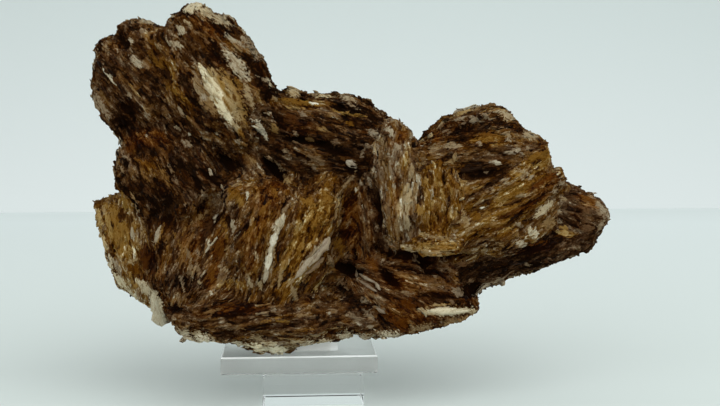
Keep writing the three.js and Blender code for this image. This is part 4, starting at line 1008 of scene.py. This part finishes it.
def bladePieces(batches, material):
    for i, sheafName in enumerate(sheaves):
        parts = []
        for batch in batches:
            mine = batch["owners"] == i
            parts.append({key: batch[key][mine] for key in ("points", "places", "fields")})
        joinTubes(sheafName + "Blades", parts, material)


crystalShape = {
    "stations": 16,
    "rings": 10,
    "sunk": 0.36,  # share of the thickness that stays below the skin
    "raised": 0.25,  # mm
    "thinner": 0.7,  # power by which the thickness follows the width's profile
    "slope": 3,  # most by which one end lies behind the other, in mm
    "square": (0.5, 0.45),  # how flat the faces are, from 0, a slab, to 1, round
    "edges": ((1.0, 41, 1.0), (0.45, 42, 0.6)),  # size, seed and share of each noise
    "edgeSize": (0.9, 9.0),  # mm along, and how far apart the two edges' noises are
    "ragged": 0.4,
    "ridges": (2.4, 0.5),  # size along and across in mm
    "relief": 0.25,
    "apart": (20.0, 30.0, 13.0),  # so that no two crystals share their noise
    "clear": (2.4, 1.8),  # how far inside its own patch a crystal's middle is, and how much less so its rim
    "rim": (3, 8),  # powers by which that rim begins, across and along
}
# How crystals find the skin, from before the stone or from above their own line, and how they follow it.
heightShape = {"before": -60, "above": 8, "look": 14, "down": 1.6, "up": 1.2, "smoothing": 3}  # mm
# Small crystals on the back: half lengths, widths and thicknesses in mm.
farCrystal = {
    "count": 40,
    "tries": 3,
    "behind": 2,
    "half": (1.2, 4),
    "halfPower": 1.6,
    "wide": (1.0, 2.6),
    "widePower": 1.5,
    "thick": (1.0, 2.0),
    "pale": (0.55, 0.85),
    "peak": (0.35, 0.65),
}


def frontSpot(x, z):
    return skinTree.ray_cast(Vector((x, heightShape["before"], z)), Vector((0, 1, 0)))[0]


def frontCrystals():
    starts, ends, outs, rows = [], [], [], []
    for x0, z0, x1, z1, *row in crystals:
        middle = frontSpot((x0 + x1) / 2, (z0 + z1) / 2).y
        near, far = (middle if spot is None else spot.y for spot in (frontSpot(x0, z0), frontSpot(x1, z1)))
        slope = float(np.clip(far - near, -crystalShape["slope"], crystalShape["slope"]))
        starts.append((x0, middle - slope / 2, z0))
        ends.append((x1, middle + slope / 2, z1))
        outs.append((0, -1, 0))
        rows.append(row)
    return (np.array(values, float) for values in (starts, ends, outs, rows))


def looseCrystals():
    spots, normals, nearest = surfaceSamples(farCrystal["count"] * farCrystal["tries"])
    behind = np.where(spots[:, 1] > farCrystal["behind"])[0][: farCrystal["count"]]
    spots, normals = spots[behind], normals[behind]
    along, _, _ = grainAt(spots, sheafAt(spots))
    run = unit(along - dots(along, normals) * normals)
    count = len(spots)
    half = run * between(*farCrystal["half"], count, farCrystal["halfPower"])[:, None]
    wide = between(*farCrystal["wide"], count, farCrystal["widePower"])
    thick, pale, peak = (between(*farCrystal[key], count) for key in ("thick", "pale", "peak"))
    rows = np.stack([wide, thick, pale, skinFields[nearest[behind], 1], peak], 1)
    return spots - half, spots + half, normals, rows


def crystalHeights(spots, outs):
    heights = np.zeros(spots.shape[:2])
    for i, k in np.ndindex(*heights.shape):
        spot, out = Vector(spots[i, k]), Vector(outs[i])
        hit = skinTree.ray_cast(spot + out * heightShape["above"], -out, heightShape["look"])[0]
        near = hit if hit is not None else skinTree.find_nearest(spot)[0]
        heights[i, k] = (near - spot).dot(out)
    middle = np.median(heights, axis=1, keepdims=True)
    heights = np.clip(heights, middle - heightShape["down"], middle + heightShape["up"])
    for _ in range(heightShape["smoothing"]):
        heights[:, 1:-1] = (heights[:, :-2] + 2 * heights[:, 1:-1] + heights[:, 2:]) / 4
    return heights


# One row of noise places for every point of every crystal.
def crystalSpots(along, across, apart, grid):
    own = apart * np.arange(grid[0])[:, None, None]
    return np.stack([np.broadcast_to(part, grid) for part in (along, across, own)], 3).reshape(-1, 3)


# Each crystal is a closed tube from its start to its end, widest at its peak, that lies on the skin.
def makeCrystals(starts, ends, outs, rows):
    shape = crystalShape
    grid = (len(starts), shape["stations"], shape["rings"])
    count, stations, rings = grid
    wide, thick, pale, warm, peak = (rows[:, k, None] for k in range(5))
    steps = np.linspace(0, 1, stations)[None, :]
    line = starts[:, None, :] + (ends - starts)[:, None, :] * steps[..., None]
    run = unit(ends - starts)
    out = unit(outs - dots(outs, run) * run)
    side = np.cross(out, run)
    profile = profileOf(steps, peak)
    turn = np.linspace(0, 2 * np.pi, rings, endpoint=False) + np.pi / rings
    across = np.sign(np.cos(turn)) * np.abs(np.cos(turn)) ** shape["square"][0]
    up = np.sign(np.sin(turn)) * np.abs(np.sin(turn)) ** shape["square"][1]
    way = np.linalg.norm(ends - starts, axis=1)[:, None, None] * steps[..., None]
    edgeSize, edgesApart = shape["edgeSize"]
    spots = crystalSpots(way / edgeSize, np.sign(across) * edgesApart, shape["apart"][0], grid)
    edge = sum(share * noiseAt(spots, size, seed) for size, seed, share in shape["edges"]).reshape(grid)
    half = wide[..., None] / 2 * profile[..., None] * (1 + shape["ragged"] * edge)
    longest, widest = shape["ridges"]
    fine = crystalSpots(way / longest, across * wide[..., None] / widest, shape["apart"][1], grid)
    ridge = shape["relief"] * noiseAt(fine, 1.0, 43).reshape(grid)
    deep = thick[..., None] * profile[..., None] ** shape["thinner"] * (up * 0.5 - shape["sunk"]) + ridge
    heights = crystalHeights(line, out)[..., None] + deep + shape["raised"]
    points = line[:, :, None, :] + side[:, None, None, :] * (across * half)[..., None]
    points = points + out[:, None, None, :] * heights[..., None]
    places = np.stack([np.broadcast_to(way, grid), across * half, deep], 3)
    places += shape["apart"][2] * np.arange(count)[:, None, None, None]
    rim = np.abs(across) ** shape["rim"][0] + (2 * steps[..., None] - 1) ** shape["rim"][1]
    ground = np.stack([skinTree.find_nearest(Vector(p))[2] for p in line[:, stations // 2]])
    fields = np.zeros((*grid, len(fieldNames)))
    fields[..., :3] = skinFields[skinCorner[ground], None, None, :3]
    fields[..., 3] = shape["clear"][0] - shape["clear"][1] * np.clip(rim, 0, 1)
    fields[..., 4] = pale[..., None]
    fields[..., 5] = warm[..., None]
    return {"points": points, "places": places, "fields": fields}


def newFinish(name, **settings):
    material = bpy.data.materials.new(name)
    material.use_nodes = True
    shader = material.node_tree.nodes["Principled BSDF"]
    for socket, value in settings.items():
        shader.inputs[socket.replace("_", " ")].default_value = value
    return material, material.node_tree, shader


def addNode(tree, kind, inputs=None, **settings):
    node = tree.nodes.new(kind)
    for name, value in settings.items():
        setattr(node, name, value)
    for name, value in (inputs or {}).items():
        if isinstance(value, bpy.types.NodeSocket):
            tree.links.new(value, node.inputs[name])
        else:
            node.inputs[name].default_value = value
    return node


def mathOf(tree, operation, *values):
    return addNode(tree, "ShaderNodeMath", dict(enumerate(values)), operation=operation).outputs[0]


def summed(tree, values):
    total = values[0]
    for value in values[1:]:
        total = mathOf(tree, "ADD", total, value)
    return total


def scaled(tree, vector, scale):
    return addNode(tree, "ShaderNodeVectorMath", {0: vector, 1: scale}, operation="MULTIPLY").outputs[0]


def noiseOf(tree, vector, scale=1.0, detail=4, roughness=0.6):
    inputs = {"Vector": vector, "Scale": scale, "Detail": detail, "Roughness": roughness}
    return addNode(tree, "ShaderNodeTexNoise", inputs).outputs["Fac"]


def attribute(tree, name, output="Fac"):
    return addNode(tree, "ShaderNodeAttribute", attribute_name=name).outputs[output]


def partOf(tree, vector, axis):
    return addNode(tree, "ShaderNodeSeparateXYZ", {0: vector}).outputs[axis]


def ranged(tree, value, low, high, start=0.0, end=1.0):
    inputs = {"Value": value, "From Min": low, "From Max": high, "To Min": start, "To Max": end}
    return addNode(tree, "ShaderNodeMapRange", inputs).outputs[0]


def lerped(tree, factor, a, b):
    return ranged(tree, factor, 0, 1, a, b)


def mixed(tree, factor, a, b):  # two colours, in the sockets that this node has for them
    return addNode(tree, "ShaderNodeMix", {0: factor, 6: a, 7: b}, data_type="RGBA").outputs[2]


def ramp(tree, value, places, shades):
    node = addNode(tree, "ShaderNodeValToRGB", {"Fac": value})
    elements = node.color_ramp.elements
    while len(elements) < len(places):
        elements.new(0.5)
    for element, place, shade in zip(elements, places, shades):
        element.position = place
        element.color = colour(*shade)
    return node.outputs["Color"]


def colour(red, green, blue):
    return (*linear(red, green, blue), 1)


# Noises are per mm along, through and down the grain, then how strong. Tones run from 0, near black, to 1.
bariteFinish = {
    "settings": {"IOR": 1.64, "Subsurface_Scale": 0.0012, "Subsurface_Radius": (1.0, 0.75, 0.5)},
    "base": 0.355,  # tone of the plain stone
    "noises": {
        "blotches": ((0.09, 0.3, 0.22), 0.18),
        "mottle": ((0.5, 1.2, 0.9), 0.12),
        "fibres": ((0.4, 2.2, 1.3), 0.18),
        "grit": ((1.9, 3.6, 2.8), 0.16),
    },
    # The same, then the noise at which they begin and are full, how much paler and how much warmer.
    "patches": {
        "specks": ((1.1, 2.8, 1.9), (0.6, 0.66), -0.28, 0.0),
        "lenses": ((0.3, 0.95, 0.7), (0.56, 0.6), -0.18, 0.15),
        "scales": ((0.33, 0.8, 0.63), (0.56, 0.6), 0.2, -0.35),
        "flecks": ((0.9, 1.9, 1.4), (0.6, 0.65), 0.14, -0.3),
    },
    "patchEdge": ((0.8, 2.1, 1.5), 2.4, 3),
    "patchFade": (0.0, 0.6),
    "patchShare": 0.7,  # how much of the stone's noise shows in its patches and crystals
    # A noise each, and where silver turns into gold and then into rust.
    "warm": {"noise": ((0.16, 0.4, 0.3), 0.7, 2), "limits": (0.05, 0.85)},
    "rust": {"noise": ((0.2, 0.6, 0.4), 0.7, 3), "limits": (0.15, 0.75)},
    "noiseLimits": (0.25, 0.75),  # nearly all noise lies between these
    "mottleLimits": (-0.1, 0.1),  # where the stone is smoothest and roughest
    "bump": {"Strength": 0.5, "Distance": 0.2 * mm},
    # Colours for tones from near black to the palest, as sRGB out of 255.
    "tones": (0.04, 0.2, 0.36, 0.52, 0.68, 0.84, 1.0),
    "golden": (
        (18, 7, 0), (47, 23, 1), (75, 44, 8), (101, 70, 25), (126, 99, 53), (158, 138, 97), (206, 192, 154),
    ),
    "silver": (
        (15, 7, 1), (36, 20, 8), (60, 41, 25), (90, 71, 51), (119, 105, 85), (155, 146, 126), (202, 196, 178),
    ),
    "rusty": (
        (20, 6, 0), (48, 19, 0), (75, 40, 9), (99, 66, 30), (123, 93, 56), (150, 126, 92), (196, 174, 146),
    ),
}
bariteLooks = {
    "matrix": {"roughness": (0.65, 0.95), "specular": 0.0, "subsurface": 0.25},
    "bladed barite": {"roughness": (0.5, 0.85), "specular": 0.02, "subsurface": 0.25},
    "clear barite": {"roughness": (0.35, 0.65), "specular": 0.3, "subsurface": 0.2},
}


# Noise about 0 of a given strength, in coordinates stretched along the grain.
def variation(tree, vector, scale, strength, detail=4):
    fac = noiseOf(tree, scaled(tree, vector, scale), detail=detail)
    return ranged(tree, fac, *bariteFinish["noiseLimits"], -strength / 2, strength / 2)


# Ragged patches: how much each place is paler, and how much warmer.
def patchesOf(tree, vector):
    paler, warmer = [], []
    for scale, limits, pale, warm in bariteFinish["patches"].values():
        noise = noiseOf(tree, scaled(tree, vector, scale))
        paler.append(ranged(tree, noise, *limits, 0, pale))
        warmer.append(ranged(tree, noise, *limits, 0, warm))
    return paler, warmer


def bariteMaterial(name, roughness, specular, subsurface):
    settings = {"Specular_IOR_Level": specular, "Subsurface_Weight": subsurface}
    material, tree, shader = newFinish(name, **bariteFinish["settings"], **settings)
    places = attribute(tree, "places", "Vector")
    noises = {key: variation(tree, places, *noise) for key, noise in bariteFinish["noises"].items()}
    paler, warmer = patchesOf(tree, places)
    ground = summed(tree, [attribute(tree, "tone"), *noises.values(), *paler, bariteFinish["base"]])
    edge = summed(tree, [attribute(tree, "patch"), variation(tree, places, *bariteFinish["patchEdge"])])
    patch = ranged(tree, edge, *bariteFinish["patchFade"])
    faint = summed(tree, [noises["fibres"], noises["grit"], *paler[:2]])
    faint = mathOf(tree, "MULTIPLY", faint, bariteFinish["patchShare"])
    lightness = lerped(tree, patch, ground, summed(tree, [attribute(tree, "patchTone"), faint]))
    hues = {}
    for key, extra in (("warm", warmer), ("rust", [])):
        look = bariteFinish[key]
        hue = summed(tree, [attribute(tree, key), variation(tree, places, *look["noise"]), *extra])
        hue = lerped(tree, patch, hue, attribute(tree, "patch" + key.capitalize()))
        hues[key] = ranged(tree, hue, *look["limits"])
    tones = bariteFinish["tones"]
    silver, golden, rusty = (
        ramp(tree, lightness, tones, bariteFinish[key]) for key in ("silver", "golden", "rusty")
    )
    shade = mixed(tree, hues["rust"], mixed(tree, hues["warm"], silver, golden), rusty)
    tree.links.new(shade, shader.inputs["Base Color"])
    rough = ranged(tree, noises["mottle"], *bariteFinish["mottleLimits"], *roughness)
    tree.links.new(rough, shader.inputs["Roughness"])
    height = summed(tree, [noises["fibres"], noises["grit"]])
    bump = addNode(tree, "ShaderNodeBump", {"Height": height, **bariteFinish["bump"]})
    tree.links.new(bump.outputs[0], shader.inputs["Normal"])
    return material


# Each slab's finish: how rough its top, underside and sides are, whether its upper edges (1), its lower ones
# (-1) or none carry a painted white highlight line, how far in from each end it is frosted white in mm, how
# much light goes through and its tint.
slabs = {
    "stand_riser": {
        "rough": (0.0, 0.0, 0.5), "edges": 0, "ends": 2.4, "through": 0.2, "tint": (0.97, 0.97, 0.95, 1),
    },
    "stand_plate": {
        "rough": (0.3, 0.5, 0.9), "edges": 1, "ends": 0, "through": 1.0, "tint": (0.92, 0.91, 0.89, 1),
    },
    "stand_block": {"rough": (0.0, 0.3, 0.0), "edges": -1, "ends": 0, "through": 1.0, "tint": (1, 1, 1, 1)},
}
acrylic = {
    "ior": 1.49,
    "wear": (180, 4, 0.6),  # noise per metre, its detail and its roughness
    "wearFrom": (0.4, 0.75),
    "wearRough": (0.02, 0.08),
    # How level a face is where it turns from a side into an edge, and from that into the top or underside.
    "sideLimits": (0.3, 0.5),
    "topLimits": (0.75, 0.9),
    "edgeFrom": (0.5, 0.6),
    "edgeTo": (0.8, 0.9),
    "worn": (0.96, 0.97, 0.97, 1),
    "wornFade": 0.2 * mm,
}


def acrylicMaterial(name, rough, edges, ends, through, tint):
    settings = {"IOR": acrylic["ior"], "Transmission_Weight": through, "Base_Color": tint}
    material, tree, shader = newFinish(f"clear acrylic of {name}", **settings)
    surface = addNode(tree, "ShaderNodeNewGeometry").outputs
    scratches = noiseOf(tree, surface["Position"], *acrylic["wear"])
    wear = ranged(tree, scratches, *acrylic["wearFrom"], *acrylic["wearRough"])
    up = partOf(tree, surface["Normal"], "Z")
    start, full = acrylic["topLimits"]
    above = ranged(tree, up, start, full, 0, rough[0])
    under = ranged(tree, up, -full, -start, rough[1], 0)
    beside = ranged(tree, mathOf(tree, "ABSOLUTE", up), *acrylic["sideLimits"], rough[2], 0)
    tree.links.new(summed(tree, [wear, above, under, beside]), shader.inputs["Roughness"])
    # The chamfered edges get an opaque white line, a painted highlight; the riser's ends are frosted white.
    slope = mathOf(tree, "MULTIPLY", up, edges)
    fromSide, toTop = ranged(tree, slope, *acrylic["edgeFrom"]), ranged(tree, slope, *acrylic["edgeTo"], 1, 0)
    white = mathOf(tree, "MULTIPLY", fromSide, toTop)
    if ends:
        low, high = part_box(name)
        middle, half = (low.x + high.x) / 2, (high.x - low.x) / 2 - ends * mm
        away = mathOf(tree, "SUBTRACT", partOf(tree, surface["Position"], "X"), middle)
        away = mathOf(tree, "ABSOLUTE", away)
        frost = ranged(tree, away, half - acrylic["wornFade"], half + acrylic["wornFade"])
        white = mathOf(tree, "MAXIMUM", white, frost)
    tree.links.new(ranged(tree, white, 0, 1, through, 0), shader.inputs["Transmission Weight"])
    tree.links.new(mixed(tree, white, tint, acrylic["worn"]), shader.inputs["Base Color"])
    return material


matrixFinish, bladeFinish, crystalFinish = (
    bariteMaterial(name, **look) for name, look in bariteLooks.items()
)

bladePieces(scatterBlades(), bladeFinish)
joinTubes("displayCrystals", [makeCrystals(*frontCrystals())], crystalFinish)
joinTubes("farCrystals", [makeCrystals(*looseCrystals())], crystalFinish)
shareSkin(matrixFinish)

for name, slab in slabs.items():
    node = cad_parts[name]
    node.data.materials.clear()
    node.data.materials.append(acrylicMaterial(name, **slab))
    node.visible_shadow = False
print("stand")

room = {  # metres
    "tableEnd": 0.74,  # behind the origin
    "wallAt": 1.34,
    "wallHeight": (-1, 3),
    "wide": 3.0,  # each way
    "front": -2.0,
    "skew": 0.08,  # how far off square the far edge of the table is, as a share
    "level": -0.05 * mm,
}
sheetRoughness = 0.7
# Each sheet's tones, the axis along which the first turns into the second and where it does, in metres. The
# grading is painted shade: the table darker towards the front, the wall darker towards the top.
paintedSheetShade = {
    "table": {"tones": (colour(205, 211, 208), colour(235, 241, 241)), "axis": "Y", "reach": (0.0, 0.6)},
    "wall": {"tones": (colour(240, 246, 246), colour(218, 226, 225)), "axis": "Z", "reach": (-0.05, 0.3)},
}


def makeSheet(name, corners):
    mesh = bpy.data.meshes.new(name)
    mesh.from_pydata(corners, [], [(0, 1, 2, 3)])
    material, tree, shader = newFinish(name, Roughness=sheetRoughness)
    sheet = paintedSheetShade[name]
    place = addNode(tree, "ShaderNodeNewGeometry").outputs["Position"]
    step = ranged(tree, partOf(tree, place, sheet["axis"]), *sheet["reach"])
    tree.links.new(mixed(tree, step, *sheet["tones"]), shader.inputs["Base Color"])
    mesh.materials.append(material)
    newPiece(name, mesh)


def makeRoom():
    wide, front, end, low = (room[key] for key in ("wide", "front", "tableEnd", "level"))
    askew = room["skew"] * wide
    near = [(-wide, front, low), (wide, front, low)]
    far = [(wide, end + askew, low), (-wide, end - askew, low)]
    makeSheet("table", near + far)
    back, (foot, top) = room["wallAt"], room["wallHeight"]
    makeSheet("wall", [(-wide, back, foot), (wide, back, foot), (wide, back, top), (-wide, back, top)])


makeRoom()

lampColour = (0.95, 1.0, 1.0)
lampTarget = (0, 0, 0.06)
lamps = {  # places and sizes in metres, power in watts
    "overhead": {"at": (0.5, -0.7, 0.85), "size": 1.2, "power": 11},
    "leftFill": {"at": (-0.5, -0.8, 0.5), "size": 0.9, "power": 5},
}


def makeLamp(name, lamp):
    light = bpy.data.lights.new(name, "AREA")
    light.size = lamp["size"]
    light.energy = lamp["power"]
    light.color = lampColour
    holder = newPiece(name, light)
    holder.location = lamp["at"]
    holder.rotation_euler = (Vector(lampTarget) - holder.location).to_track_quat("-Z", "Y").to_euler()


for name, lamp in lamps.items():
    makeLamp(name, lamp)

softLight = {"Color": (0.9, 0.94, 0.93, 1), "Strength": 0.68}
world = bpy.data.worlds.new("soft room")
world.use_nodes = True
for key, value in softLight.items():
    world.node_tree.nodes["Background"].inputs[key].default_value = value
bpy.context.scene.world = world
bpy.context.scene.view_settings.view_transform = "Standard"

view = {"at": (0.015, -0.312, 0.08485), "tilt": -4.18, "lens": 50, "nearest": 0.01}  # metres, degrees, mm
camera = bpy.data.cameras.new("camera")
camera.lens = view["lens"]
camera.clip_start = view["nearest"]
cameraHolder = newPiece("camera", camera)
cameraHolder.location = view["at"]
cameraHolder.rotation_euler = (math.radians(90 + view["tilt"]), 0, 0)
bpy.context.scene.camera = cameraHolder
print("light and camera")
